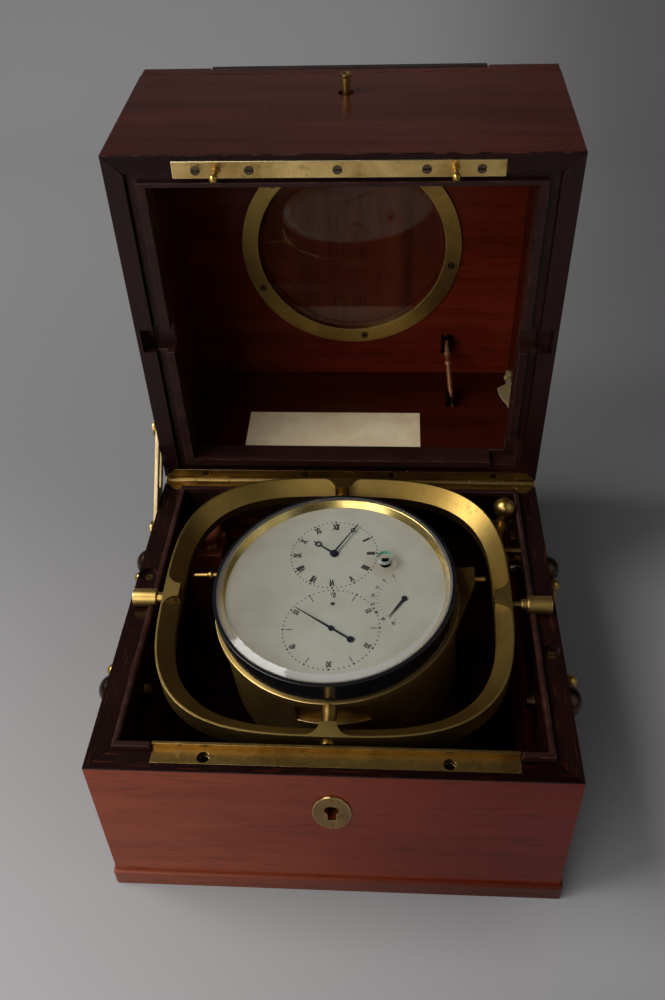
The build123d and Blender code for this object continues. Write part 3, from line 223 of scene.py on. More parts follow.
def mahogany(name, wood):
    made = Finish(name)
    upright = made.mapped(turn=(lidTurn, 0, 0), shift=tuple(lidShift)) if wood["onLid"] else made.place
    grain = tuple(wood["stretch"] if axis == wood["grain"] else wood["across"] for axis in "xyz")

    def grained(finer, shift=(0, 0, 0)):
        return made.mapped(scale=toned(grain, finer), shift=shift, source=upright)

    waver = made.noise(made.mapped(scale=timber["waver"]["scale"], source=upright), detail=2.0)
    pushed = made.node("ShaderNodeCombineXYZ", None, [waver * timber["waver"]["push"]] * 3)
    bent = made.node("ShaderNodeVectorMath", {"operation": "ADD"}, [grained(1, wood["shift"]), pushed])
    fibres = made.noise(bent, scale=2.4, detail=6.0, rough=0.68)
    figure = made.noise(grained(timber["figure"]["grain"], wood["shift"]), scale=3.2, rough=0.5, twist=1.4)
    stripe = made.noise(grained(timber["stripe"]["grain"]), scale=2.0, detail=2.0)
    pores = made.noise(grained(timber["pores"]["grain"]), scale=2.0, detail=1.0, rough=0.4)
    poreMask = pores.soft(*timber["pores"]["limits"])
    tone = fibres * timber["fibres"]["share"] + figure * timber["figure"]["share"]
    tone = tone + stripe * timber["stripe"]["share"]
    body = made.ramp(tone, *[(timber["steps"][key], wood[key]) for key in ("dark", "middle", "light")])
    x, y, z = made.parts(upright)
    inside = wood["inside"]
    if inside:
        skin = timber["skin"]
        front, rear = inside["y"]
        within = abs(x).below(inside["x"] + skin) * y.between(front - skin, rear + skin)
        body = made.tinted(within * z.between(*inside["z"]), body, inside["tint"])
    rim = wood["rim"]
    if rim:
        mottle = timber["mottle"]
        hidden = z.between(*rim["joint"]) * abs(x).below(timber["outerX"]) * abs(y).below(timber["outerY"])
        onRim = (z.between(*rim["edge"]) + hidden).above(0.5)
        cloudy = made.noise(made.mapped(scale=mottle["scale"], source=upright))
        low, high = mottle["limits"]
        rimTone = made.ramp(
            cloudy * mottle["share"] + fibres * (1 - mottle["share"]),
            (low, rim["tint"]), (high, toned(rim["tint"], mottle["lighter"])),
        )
        body = made.mix(onRim, body, rimTone)
    body = made.mix(poreMask * timber["pores"]["share"], body, toned(wood["dark"], timber["pores"]["tone"]))
    wornAndHighlit = made.noise(made.mapped(scale=timber["rubbedAndHighlit"]["scale"]), detail=4.0)
    rubbedAndHighlit = made.wear() * wornAndHighlit.soft(*timber["rubbedAndHighlit"]["limits"])
    body = made.mix(rubbedAndHighlit * wood["wornAndHighlit"], body, wood["bare"])
    look = timber["marks"]
    marks = made.noise(made.mapped(scale=look["scale"], shift=look["shift"]), detail=5.0, rough=0.7)
    marks = marks.soft(*look["limits"])
    body = made.mix(marks * look["share"], body, toned(wood["middle"], look["tone"]))
    rough = wood["gloss"] + fibres * timber["fibres"]["rough"] + marks * look["rough"]
    rough = rough + rubbedAndHighlit * timber["rubbedAndHighlit"]["rough"]
    # painted shade: the piece is tinted darker towards one side along x, as the light falls
    if wood["paintedShade"]:
        body = made.tinted(x.soft(*wood["paintedShade"]["limits"]), body, wood["paintedShade"]["tint"])
    normal = made.bump(fibres - poreMask * timber["pores"]["depth"], wood["relief"], timber["relief"])
    return made.finished(
        Base_Color=body, Roughness=rough, Normal=normal, Coat_Weight=wood["polish"],
        Coat_Roughness=timber["polishRough"], Specular_IOR_Level=wood["shine"],
    )


# Faces inside the case are tinted much darker, faces inside the lid redder and the underside of the lid's
# top board lighter; the rims and the hidden joints have a tint of their own
caseInside = {"x": 0.083, "y": (-0.0752, 0.077), "z": (0.005, 0.1), "tint": (0.14, 0.06, 0.045)}
lidInside = {"x": 0.087, "y": (-0.0785, 0.0799), "z": (0.08, 0.2), "tint": (1.15, 0.68, 0.46)}
boardInside = {"x": 0.087, "y": (-0.0785, 0.0799), "z": (0.165, 0.1775), "tint": (2.7, 1.45, 0.82)}
caseRim = {"edge": (0.0844, 0.0870), "joint": (0.060, 0.0870), "tint": (0.0065, 0.0020, 0.0017)}
lidRim = {"edge": (0.0800, 0.0860), "joint": (0.080, 0.1045), "tint": (0.0110, 0.0030, 0.0026)}

frontWood = {
    "grain": "x", "onLid": False, "stretch": 7, "across": 85, "shift": (0.2, 0.4, 0.1),
    "dark": (0.165, 0.026, 0.008), "middle": (0.235, 0.040, 0.013), "light": (0.310, 0.066, 0.024),
    "bare": (0.30, 0.11, 0.06), "inside": caseInside, "rim": caseRim,
    # painted shade: the front darkens towards the right, as the light from the left falls off
    "paintedShade": {"limits": (-0.10, 0.09), "tint": (0.46, 0.21, 0.13)},
    "wornAndHighlit": 0.4, "gloss": 0.19, "relief": 0.10, "polish": 0.04, "shine": 0.20,
}
sideWood = dict(
    frontWood, grain="y", shift=(1.1, 0.2, 0.5), paintedShade=None,
    dark=(0.11, 0.024, 0.012), middle=(0.20, 0.045, 0.022),
)
plinthWood = dict(
    # painted shade: the plinth also darkens towards the right
    frontWood, shift=(2.2, 0.9, 0.3), rim=None, paintedShade={"limits": (-0.08, 0.09), "tint": (0.33, 0.23, 0.26)},
    dark=(0.10, 0.022, 0.012), middle=(0.20, 0.045, 0.021),
)
# The lid's wood is much darker than the case's: partly its own darker polish, and partly painted shade in
# place of the lower light on the lid
lidWood = dict(
    frontWood, onLid=True, shift=(4.2, 1.7, 0.8), inside=lidInside, rim=lidRim, shine=0.13, polish=0.02,
    # painted shade: the lid darkens towards its left side, where its left wall shades it
    paintedShade={"limits": (0.07, -0.09), "tint": (0.70, 0.62, 0.60)}, bare=(0.13, 0.045, 0.027),
    dark=(0.024, 0.0052, 0.0030), middle=(0.042, 0.0085, 0.0048), light=(0.066, 0.014, 0.0075),
)
lidSideWood = dict(lidWood, grain="y", shift=(6.1, 0.3, 2.2), paintedShade=None, shine=0.2)
lidTopWood = dict(lidWood, shift=(5.3, 3.1, 0.7), inside=boardInside, rim=None)
flapWood = dict(
    lidWood, grain="y", shift=(9.3, 1.1, 1.7), inside=None, rim=None,
    dark=(0.060, 0.011, 0.006), middle=(0.125, 0.022, 0.010), light=(0.190, 0.034, 0.014),
)
darkWood = dict(
    frontWood, inside=None, rim=None, paintedShade=None, gloss=0.30, polish=0.05, shine=0.16,
    dark=(0.010, 0.0036, 0.0032), middle=(0.020, 0.0070, 0.0060), light=(0.038, 0.012, 0.009),
    bare=(0.09, 0.036, 0.026),
)
knobWood = dict(
    frontWood, grain="z", stretch=20, inside=None, rim=None, paintedShade=None,
    dark=(0.07, 0.016, 0.008), middle=(0.13, 0.032, 0.014), light=(0.20, 0.055, 0.024),
)

woods = {
    "front": mahogany("mahoganyFront", frontWood),
    "side": mahogany("mahoganySide", sideWood),
    "plinth": mahogany("mahoganyPlinth", plinthWood),
    "lid": mahogany("mahoganyLid", lidWood),
    "lidSide": mahogany("mahoganyLidSide", lidSideWood),
    "lidTop": mahogany("mahoganyLidTop", lidTopWood),
    "flap": mahogany("mahoganyFlap", flapWood),
    "dark": mahogany("mahoganyDark", darkWood),
    "darkLid": mahogany("mahoganyDarkLid", dict(darkWood, onLid=True)),
    "knob": mahogany("knobWood", knobWood),
}
print("woods ready,", len(woods))


# What brass, steel, copper and the black band share
metalwork = {
    "clouds": {"shift": (2, 5, 1), "limits": (0.32, 0.68)},
    "spots": {"shift": (7, 1, 4), "limits": (0.56, 0.74), "rough": 0.3},
    "rubbedPolish": 0.08, "strands": 0.6, "relief": 0.0002, "coatRough": 0.2,
}


def metal(name, look):
    made = Finish(name)
    cloudy, spotted = metalwork["clouds"], metalwork["spots"]
    fine = made.noise(made.mapped(), look["fine"], detail=5.0, rough=0.65)
    clouds = made.noise(made.mapped(shift=cloudy["shift"]), look["clouds"], detail=4.0, rough=0.6, twist=0.6)
    spots = made.noise(made.mapped(shift=spotted["shift"]), look["spots"], detail=6.0, rough=0.7)
    stain = spots.soft(*spotted["limits"]) * look["stained"]
    # Rounded edges take the bright colour: edge wear on most pieces, a painted highlight on the catch plate
    rubbedAndHighlit = made.wear() * look["wornAndHighlit"]
    low, high = cloudy["limits"]
    colour = made.ramp(clouds, (low, look["dark"]), (high, look["light"]))
    colour = made.mix(stain, colour, look["stain"])
    colour = made.mix(rubbedAndHighlit, colour, look["bright"])
    # painted shade: the piece is tinted darker along y
    if look["paintedShade"]:
        y = made.parts(made.place)[1]
        colour = made.tinted(y.soft(*look["paintedShade"]["limits"]), colour, look["paintedShade"]["tint"])
    rough = look["rough"] + (fine - 0.5) * look["vary"] + stain * spotted["rough"]
    rough = rough - rubbedAndHighlit * metalwork["rubbedPolish"]
    strands = made.noise(made.mapped(scale=look["brush"]), rough=0.6)
    height = strands * metalwork["strands"] + fine * (1 - metalwork["strands"])
    return made.finished(
        Base_Color=colour, Metallic=look["metallic"], Roughness=rough,
        Normal=made.bump(height, look["relief"], metalwork["relief"]), Coat_Weight=look["coat"],
        Coat_Roughness=metalwork["coatRough"],
    )


agedBrass = {
    "dark": (0.33, 0.195, 0.050), "light": (0.58, 0.385, 0.115), "bright": (0.80, 0.62, 0.28),
    "stain": (0.13, 0.070, 0.026), "fine": 900, "clouds": 70, "spots": 190, "stained": 0.75, "wornAndHighlit": 0.6,
    "rough": 0.33, "vary": 0.14, "relief": 0.14, "brush": (60, 1800, 1800), "metallic": 1.0, "coat": 0.0,
    "paintedShade": None,
}
plateBrass = dict(
    agedBrass, clouds=28, spots=120, stained=0.9, rough=0.30, vary=0.18, light=(0.64, 0.42, 0.13),
)
lacquerBrass = dict(
    agedBrass, dark=(0.40, 0.255, 0.070), light=(0.60, 0.41, 0.125), stained=0.4, clouds=22, rough=0.36,
    vary=0.10, relief=0.10, brush=(900, 900, 900),
)
bowlBrass = dict(lacquerBrass, dark=(0.36, 0.225, 0.065), light=(0.54, 0.35, 0.105), rough=0.44)
windowBrass = dict(lacquerBrass, dark=(0.28, 0.175, 0.050), light=(0.50, 0.335, 0.100), stained=0.6)
# painted shade: the ring is tinted darker towards its back
ringBrass = dict(lacquerBrass, paintedShade={"limits": (0.0, 0.062), "tint": (0.50, 0.48, 0.41)})
# The catch plate's rounded edges take a near-white colour at full strength: a painted highlight along its
# edges
catchBrass = dict(
    plateBrass, dark=(0.42, 0.26, 0.075), light=(0.84, 0.60, 0.23), bright=(0.98, 0.86, 0.52), wornAndHighlit=1.0,
    clouds=45,
)
hingeBrass = dict(agedBrass, dark=(0.20, 0.125, 0.038), light=(0.38, 0.25, 0.080), clouds=45)
keyholeBrass = dict(agedBrass, dark=(0.19, 0.110, 0.042), light=(0.36, 0.225, 0.078), stained=0.9)
screwBrass = dict(
    agedBrass, dark=(0.20, 0.125, 0.045), light=(0.40, 0.27, 0.10), bright=(0.016, 0.010, 0.007), wornAndHighlit=1.0,
    fine=1500, clouds=200, spots=400, rough=0.34,
)
lidScrewBrass = dict(screwBrass, dark=(0.060, 0.042, 0.030), light=(0.16, 0.115, 0.078))
rodBrass = dict(agedBrass, fine=1500, clouds=200, spots=400, rough=0.32)
stayBrass = dict(
    agedBrass, dark=(0.40, 0.29, 0.15), light=(0.62, 0.49, 0.28), rough=0.42, metallic=0.8, stained=0.5,
)
clipBrass = dict(stayBrass, dark=(0.46, 0.37, 0.17), light=(0.70, 0.58, 0.30), metallic=0.45)
bezelBrass = dict(
    agedBrass, dark=(0.62, 0.43, 0.13), light=(0.86, 0.66, 0.26), stained=0.25, rough=0.24, vary=0.08,
    relief=0.05, brush=(400, 400, 400),
)
darkBrass = dict(
    agedBrass, dark=(0.030, 0.020, 0.015), light=(0.085, 0.052, 0.032), rough=0.30, bright=(0.3, 0.2, 0.09),
)
bandBlack = {
    "dark": (0.0030, 0.0032, 0.0045), "light": (0.006, 0.0062, 0.008), "bright": (0.018, 0.018, 0.021),
    "stain": (0.010, 0.010, 0.012), "fine": 700, "clouds": 60, "spots": 160, "stained": 0.4, "wornAndHighlit": 0.3,
    "rough": 0.22, "vary": 0.08, "relief": 0.05, "brush": (500, 500, 500), "metallic": 0.0, "coat": 0.5,
    "paintedShade": None,
}
bluedSteel = dict(
    bandBlack, dark=(0.010, 0.012, 0.020), light=(0.016, 0.018, 0.030), metallic=0.3, rough=0.35, coat=0.0,
    bright=(0.05, 0.06, 0.10),
)
copper = dict(
    agedBrass, dark=(0.30, 0.115, 0.055), light=(0.48, 0.20, 0.100), bright=(0.7, 0.36, 0.20), rough=0.38,
    clouds=120, metallic=0.55,
)

metals = {
    "aged": metal("agedBrass", agedBrass),
    "plate": metal("plateBrass", plateBrass),
    "lacquer": metal("lacquerBrass", lacquerBrass),
    "bowl": metal("bowlBrass", bowlBrass),
    "ring": metal("ringBrass", ringBrass),
    "window": metal("windowBrass", windowBrass),
    "clip": metal("clipBrass", clipBrass),
    "catch": metal("catchBrass", catchBrass),
    "hinge": metal("hingeBrass", hingeBrass),
    "keyhole": metal("keyholeBrass", keyholeBrass),
    "lidScrew": metal("lidScrewBrass", lidScrewBrass),
    "screw": metal("screwBrass", screwBrass),
    "rod": metal("rodBrass", rodBrass),
    "stay": metal("stayBrass", stayBrass),
    "bezel": metal("bezelBrass", bezelBrass),
    "darkBrass": metal("darkBrass", darkBrass),
    "band": metal("bandBlack", bandBlack),
    "steel": metal("bluedSteel", bluedSteel),
    "copper": metal("copper", copper),
}
print("metals ready,", len(metals))


# The bowl's own frame, tilted with the ring and on its pivots, and the places of its three small dials
dialPlace = {
    "centre": (-0.0018, 0, 0.0885), "ringTilt": 5.0, "bowlTilt": -3.66, "height": 0.0095, "paneTop": 0.0135,
    "time": (-0.001, 0.0192), "seconds": (-0.0003, -0.0222), "reserve": (0.0305, -0.0072),
    "winding": (0.0222, 0.013),
}
dialFrame = (
    Matrix.Translation(dialPlace["centre"])
    @ Matrix.Rotation(math.radians(dialPlace["ringTilt"]), 4, "X")
    @ Matrix.Rotation(math.radians(dialPlace["bowlTilt"]), 4, "Y")
)


def onDial(height, place=(0, 0)):
    return tuple(dialFrame @ Vector((*place, dialPlace[height])))


silver = {
    "base": (0.350, 0.342, 0.298), "warm": (0.312, 0.299, 0.249), "clouds": 55, "grit": 3500,
    "rough": 0.5, "gritRough": 0.12, "cloudRough": 0.06, "relief": 0.10,
    "freckle": (0.24, 0.20, 0.15), "freckles": 420, "freckleShare": 0.5,
    "stain": (0.24, 0.17, 0.11), "stainShare": 0.5, "roundHole": (0.0040, 0.0105), "atEdge": (0.036, 0.0515),
    # The side colour paints shade on the dial's left part
    "side": (0.74, 0.71, 0.66), "paintedShadeShare": 0.8, "paintedShadeX": (-0.005, -0.040),
}


def silvering(look):
    made = Finish("silvering")
    clouds = made.noise(made.mapped(), look["clouds"], detail=4.0, rough=0.6)
    grit = made.noise(made.mapped(), look["grit"], detail=2.0, rough=0.5)
    freckles = made.noise(made.mapped(shift=(4, 2, 9)), look["freckles"], detail=4.0, rough=0.75)
    colour = made.mix(clouds.soft(0.35, 0.75), look["base"], look["warm"])
    colour = made.mix(freckles.soft(0.66, 0.80) * look["freckleShare"], colour, look["freckle"])
    around = 1.0 - made.reach(onDial("height", dialPlace["winding"])).soft(*look["roundHole"])
    colour = made.mix(around * clouds.soft(0.15, 0.55) * look["stainShare"], colour, look["stain"])
    edge = made.reach(onDial("height")).soft(*look["atEdge"])
    colour = made.mix(edge * clouds * look["stainShare"], colour, look["stain"])
    rough = look["rough"] + (grit - 0.5) * look["gritRough"] + clouds * look["cloudRough"]
    # painted shade: the dial's left part is tinted darker towards its left edge
    x = made.parts(made.place)[0]
    colour = made.tinted(x.soft(*look["paintedShadeX"]) * look["paintedShadeShare"], colour, look["side"])
    return made.finished(Base_Color=colour, Roughness=rough, Normal=made.bump(grit, look["relief"], 0.0001))


paperLook = {
    "base": (0.98, 0.82, 0.56), "aged": (0.86, 0.67, 0.41), "spot": (0.48, 0.31, 0.16), "clouds": 48,
    "fibres": (500, 1400, 500), "spots": 260, "spotShare": 0.5, "wornShare": 0.4, "rough": 0.72,
    "fibreRough": 0.15, "relief": 0.15,
}


def paper(look):
    made = Finish("paper")
    clouds = made.noise(made.mapped(), look["clouds"], detail=4.0, rough=0.6)
    fibre = made.noise(made.mapped(scale=look["fibres"]), rough=0.6)
    spots = made.noise(made.mapped(shift=(1, 8, 3)), look["spots"], detail=4.0, rough=0.7).soft(0.62, 0.76)
    colour = made.mix(clouds.soft(0.35, 0.7), look["base"], look["aged"])
    colour = made.mix(spots * look["spotShare"], colour, look["spot"])
    colour = made.mix(made.wear() * look["wornShare"], colour, look["aged"])
    rough = look["rough"] + fibre * look["fibreRough"]
    return made.finished(Base_Color=colour, Roughness=rough, Normal=made.bump(fibre, look["relief"], 0.0001))


# A pane is clear and mirrors on its outer side only
windowPane = {
    "mirror": (1, 1, 1), "clear": (0.93, 0.95, 0.93), "strength": 0.9, "smear": 0.006, "rough": 0.03,
    "straightOn": 0.04, "bevel": None,
}
# The dial's pane also has a cut bevel, lightly frosted all round, with a whitish diffuse sheet strongest on
# its near side that is a painted highlight, and a hole with a green wall and a frosted inside
dialPane = dict(
    windowPane, clear=(0.975, 0.985, 0.978), strength=0.45, smear=0.0, rough=0.06,
    bevel={"from": 0.0482, "mirror": 0.9, "slant": 0.45, "limits": (-0.025, 0.045), "least": 0.22},
    frostAndHighlight={"colour": (0.44, 0.45, 0.46), "share": 0.36, "inHole": 0.9},
    hole={"radius": 0.00345, "green": (0.12, 0.36, 0.27), "share": 0.85},
)


def pane(name, look):
    made = Finish(name)
    smears = made.noise(made.mapped(scale=(30, 90, 30)), detail=4.0, rough=0.6).soft(0.45, 0.8)
    facing = made.node("ShaderNodeLayerWeight", None, {"Blend": 0.5}, "Facing")
    inner = made.node("ShaderNodeNewGeometry", None, None, "Backfacing")
    outer = 1.0 - inner
    mirrored = look["straightOn"] + facing ** 5 * (1 - look["straightOn"])
    share = mirrored * look["strength"] + smears * look["smear"]
    bevel = look["bevel"]
    if bevel:
        onBevel = made.reach(onDial("paneTop")).above(bevel["from"]) * outer
        share = share + onBevel * mirrored * bevel["mirror"]
    clear = made.node("ShaderNodeBsdfTransparent", None, {"Color": look["clear"]})
    mirror = made.node("ShaderNodeBsdfGlossy", None, {"Color": look["mirror"], "Roughness": look["rough"]})
    glass = made.layered(share * outer, clear, mirror)
    if bevel:
        frostAndHighlightLook, hole = look["frostAndHighlight"], look["hole"]
        x, y = made.parts(made.place)[:2]
        frostAndHighlight = made.node("ShaderNodeBsdfDiffuse", None, {"Color": frostAndHighlightLook["colour"]})
        # painted highlight: the whitish sheet on the bevel is strongest on its near side, where a lamp's
        # reflection shows
        nearSide = (x * bevel["slant"] - y).soft(*bevel["limits"], bevel["least"], 1.0)
        glass = made.layered(onBevel * nearSide * frostAndHighlightLook["share"], glass, frostAndHighlight)
        cut = made.reach(onDial("paneTop", dialPlace["winding"])).below(hole["radius"])
        green = made.node("ShaderNodeBsdfDiffuse", None, {"Color": hole["green"]})
        glass = made.layered(cut * outer * hole["share"], glass, green)
        glass = made.layered(cut * inner * frostAndHighlightLook["inHole"], glass, frostAndHighlight)
    return made.surface(glass)


others = {
    "dial": silvering(silver),
    "paper": paper(paperLook),
    "dialPane": pane("dialPane", dialPane),
    "windowPane": pane("windowPane", windowPane),
}
finishes = {**woods, **metals, **others}
print("dial, paper and glass ready")


# The finish and edge rounding in metres of each CAD piece, and the angle above which an edge stays sharp
dressing = {
    "base_board": ("plinth", 0.0004),
    "base_front_wall": ("front", 0.0005),
    "base_rear_wall": ("front", 0.0005),
    "base_left_wall": ("side", 0.0005),
    "base_right_wall": ("side", 0.0005),
    "dust_lip": ("dark", 0.0003),
    "lid_front_wall": ("lid", 0.0005),
    "lid_rear_wall": ("lid", 0.0005),
    "lid_left_wall": ("lidSide", 0.0005),
    "lid_right_wall": ("lidSide", 0.0005),
    "lid_top_board": ("lidTop", 0.0005),
    "lid_lining": ("darkLid", 0.0004),
    "flap_panel": ("flap", 0.0003),
    "corner_post": ("knob", 0.0004),
    "lock_plate": ("plate", 0.00015),
    "catch_plate": ("catch", 0.0003),
    "lock_case": ("darkBrass", 0),
    "lock_bolt": ("aged", 0.0001),
    "escutcheon": ("keyhole", 0.00015),
    "gimbal_bearings": ("lacquer", 0.0003),
    "base_screws": ("screw", 0.0002),
    "lid_screws": ("lidScrew", 0.0002),
    "handle_posts": ("darkBrass", 0),
    "left_bail": ("aged", 0),
    "right_bail": ("aged", 0),
    "base_hinge_leaf": ("hinge", 0.0001),
    "lid_hinge_leaf": ("hinge", 0.0001),
    "hinge_pin": ("hinge", 0),
    "gimbal_lock_bracket": ("aged", 0.0002),
    "gimbal_lock_lever": ("aged", 0.0002),
    "stay_base_screw": ("rod", 0.0002),
    "stay_lid_screw": ("rod", 0.0002),
    "lid_stay": ("stay", 0.0002),
    "window_ring": ("window", 0.0003),
    "window_glass": ("windowPane", 0),
    "catch_pins": ("aged", 0.0002),
    "flap_edge": ("darkBrass", 0.0001),
    "flap_hinge_fixed": ("aged", 0.0001),
    "flap_hinge_moving": ("aged", 0.0001),
    "flap_button": ("aged", 0.0002),
    "key_clips": ("darkBrass", 0.0002),
    "side_clip": ("clip", 0.0002),
    "winding_key": ("copper", 0),
    "paper_label": ("paper", 0.00008),
    "gimbal_ring": ("ring", 0.0004),
    "ring_pivots": ("rod", 0.0001),
    "bowl_shell": ("bowl", 0.0003),
    "bowl_band": ("band", 0.0002),
    "bezel": ("bezel", 0.0002),
    "dial_glass": ("dialPane", 0, 8),
    "dial": ("dial", 0.0001),
    "bowl_side_fittings": ("aged", 0.0002),
    "movement_frame": ("lacquer", 0),
    "barrel": ("darkBrass", 0),
    "balance": ("lacquer", 0),
    "minute_hand": ("steel", 0.00004),
    "hour_hand": ("steel", 0.00004),
    "seconds_hand": ("steel", 0.00004),
    "reserve_hand": ("steel", 0.00004),
}
edges = {"merge": 1e-6, "flat": 0.5, "sharp": 35, "segments": 2, "weight": 80}


def placed(name, shape, material):
    mesh = bpy.data.meshes.new(name)
    shape.to_mesh(mesh)
    shape.free()
    mesh.materials.append(material)
    piece = bpy.data.objects.new(name, mesh)
    bpy.context.scene.collection.objects.link(piece)
    return piece


def smoothed(mesh):
    mesh.polygons.foreach_set("use_smooth", [True] * len(mesh.polygons))


# A merged copy of a CAD mesh takes the node's place, with its sharp edges rounded and marked: the marked
# edges take edge wear, and on the catch plate a painted highlight
def dress(node, finish, rounding, crease=32):
    shape = bmesh.new()
    shape.from_mesh(frame["nodes"][node].data)
    bmesh.ops.remove_doubles(shape, verts=shape.verts, dist=edges["merge"])
    bmesh.ops.dissolve_limit(
        shape, angle_limit=math.radians(edges["flat"]), verts=shape.verts, edges=shape.edges,
        use_dissolve_boundaries=False,
    )
    wornAndHighlit = shape.faces.layers.float.new("edgeWear")
    if rounding:
        sharp = [
            edge
            for edge in shape.edges
            if len(edge.link_faces) == 2
            and edge.is_convex
            and edge.calc_face_angle() > math.radians(edges["sharp"])
            and edge.calc_length() > rounding
        ]
        made = bmesh.ops.bevel(
            shape, geom=sharp, offset=rounding, offset_type="OFFSET", affect="EDGES",
            segments=edges["segments"], profile=0.5, material=-1, clamp_overlap=True,
        )
        for face in made["faces"]:
            face[wornAndHighlit] = 1.0
    piece = placed(node + ".seen", shape, finishes[finish])
    smoothed(piece.data)
    piece.data.set_sharp_from_angle(angle=math.radians(crease))
    weighted = piece.modifiers.new("flats", "WEIGHTED_NORMAL")
    weighted.keep_sharp = True
    weighted.weight = edges["weight"]
    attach(piece, bodyOf[node])
    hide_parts(node)


for node, row in dressing.items():
    dress(node, *row)
print("pieces dressed,", len(dressing))


# Figures and marks on the dial, drawn in the bowl's own plane and then tilted with it
marks = {
    "hours": {"reach": 0.0166, "size": 0.0046, "squeeze": 0.52, "weight": 0.00030},
    "seconds": {"reach": 0.0180, "size": 0.0038, "squeeze": 0.62, "weight": 0.00016},
    "reserve": {"reach": 0.0137, "size": 0.0024, "squeeze": 0.7, "weight": 0.00005},
    "minuteDots": 0.0194, "secondDots": 0.0205, "fine": 0.00033, "bold": 0.00052,
    "secondTick": {"reach": 0.0180, "length": 0.0030, "width": 0.00036},
    "longTick": {"reach": 0.0115, "length": 0.0016, "width": 0.00016},
    "shortTick": {"reach": 0.0115, "length": 0.0010, "width": 0.00016},
    "stud": {"place": (-0.0002, -0.0090), "radius": 0.0010},
    "lift": 0.00005, "dark": (0.008, 0.007, 0.008), "light": (0.032, 0.029, 0.026), "grain": 1800,
    "rough": 0.5, "grainRough": 0.2,
}


def inking(look):
    made = Finish("ink")
    grain = made.noise(made.mapped(), look["grain"])
    tone = made.mix(grain.soft(0.3, 0.8), look["dark"], look["light"])
    return made.finished(Base_Color=tone, Roughness=look["rough"] + grain * look["grainRough"])


def around(centre, reach, turn):
    return centre[0] - reach * math.sin(turn), centre[1] + reach * math.cos(turn)


def numeral(text, look, centre, turn):
    data = bpy.data.curves.new("numeral", "FONT")
    data.offset = look["weight"]
    data.body = text
    data.size = look["size"]
    data.align_x = "CENTER"
    data.align_y = "CENTER"
    holder = bpy.data.objects.new("numeral", data)
    bpy.context.scene.collection.objects.link(holder)
    bpy.context.view_layer.update()
    mesh = bpy.data.meshes.new_from_object(holder.evaluated_get(bpy.context.evaluated_depsgraph_get()))
    bpy.data.objects.remove(holder)
    low = Vector((min(v.co.x for v in mesh.vertices), min(v.co.y for v in mesh.vertices), 0))
    high = Vector((max(v.co.x for v in mesh.vertices), max(v.co.y for v in mesh.vertices), 0))
    mesh.transform(Matrix.Diagonal((look["squeeze"], 1, 1, 1)) @ Matrix.Translation(-(low + high) / 2))
    x, y = around(centre, look["reach"], turn)
    mesh.transform(Matrix.Translation((x, y, 0)) @ Matrix.Rotation(turn, 4, "Z"))
    return mesh


def dot(shape, place, radius):
    bmesh.ops.create_circle(
        shape, cap_ends=True, radius=radius, segments=10, matrix=Matrix.Translation((*place, 0))
    )


def tick(shape, look, centre, turn):
    x, y = around(centre, look["reach"], turn)
    place = Matrix.Translation((x, y, 0)) @ Matrix.Rotation(turn, 4, "Z")
    sized = Matrix.Diagonal((look["width"], look["length"], 1, 1))
    bmesh.ops.create_grid(shape, x_segments=1, y_segments=1, size=0.5, matrix=place @ sized)


def dialMarks(look):
    shape = bmesh.new()
    romans = ("XII", "I", "II", "III", "IIII", "V", "VI", "VII", "VIII", "IX", "X", "XI")
    time, seconds, reserve = dialPlace["time"], dialPlace["seconds"], dialPlace["reserve"]
    figures = []
    for hour, text in enumerate(romans):
        figures.append(numeral(text, look["hours"], time, -math.radians(30 * hour)))
    for step in range(6):
        turn = -math.radians(60 * step)
        figures.append(numeral(str(step * 10 or 60), look["seconds"], seconds, turn))
        tick(shape, look["secondTick"], seconds, turn - math.radians(30))
    for minute in range(60):
        turn = -math.radians(6 * minute)
        size = look["bold"] if minute % 5 == 0 else look["fine"]
        dot(shape, around(time, look["minuteDots"], turn), size)
        dot(shape, around(seconds, look["secondDots"], turn), size)
    for step in range(15):
        turn = math.radians(20 + 10 * step)
        tick(shape, look["shortTick" if step % 2 else "longTick"], reserve, turn)
        if step % 2 == 0:
            figures.append(numeral(str(step * 4), look["reserve"], reserve, turn))
    dot(shape, look["stud"]["place"], look["stud"]["radius"])
    for mesh in figures:
        shape.from_mesh(mesh)
        bpy.data.meshes.remove(mesh)
    lift = Matrix.Translation((0, 0, dialPlace["height"] + look["lift"]))
    bmesh.ops.transform(shape, matrix=dialFrame @ lift, verts=shape.verts)
    bmesh.ops.recalc_face_normals(shape, faces=shape.faces)
    up = dialFrame.to_3x3() @ Vector((0, 0, 1))
    turned = [face for face in shape.faces if face.normal.dot(up) < 0]
    bmesh.ops.reverse_faces(shape, faces=turned)
    piece = placed("dialMarks", shape, inking(look))
    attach(piece, "bowl")


dialMarks(marks)
print("dial marked")


# Pale floor that rises behind the box, with light and shade painted on it: a painted pool of light in front,
# painted shade across the middle and at the right rear, and painted light over the case's shadow close to
# its right side
studio = {
    "half": 2.4, "front": -1.6, "bend": 0.75, "radius": 0.8, "steps": 24, "rise": 1.8, "rough": 0.85,
    "near": (0.42, 0.415, 0.425), "middle": (0.215, 0.213, 0.220), "far": (0.38, 0.374, 0.384),
    "slant": 0.6, "nearLimits": (-0.36, 0.10), "farLimits": (0.15, 1.0),
    "paintedRearShade": {"tint": (0.55, 0.54, 0.56), "x": (0.0, 0.35), "y": (0.1, 0.3)},
    "paintedLightBeside": {"tint": (1.45, 1.45, 1.45), "x": (0.05, 0.12), "y": (-0.14, -0.07), "end": (0.16, 0.30)},
}


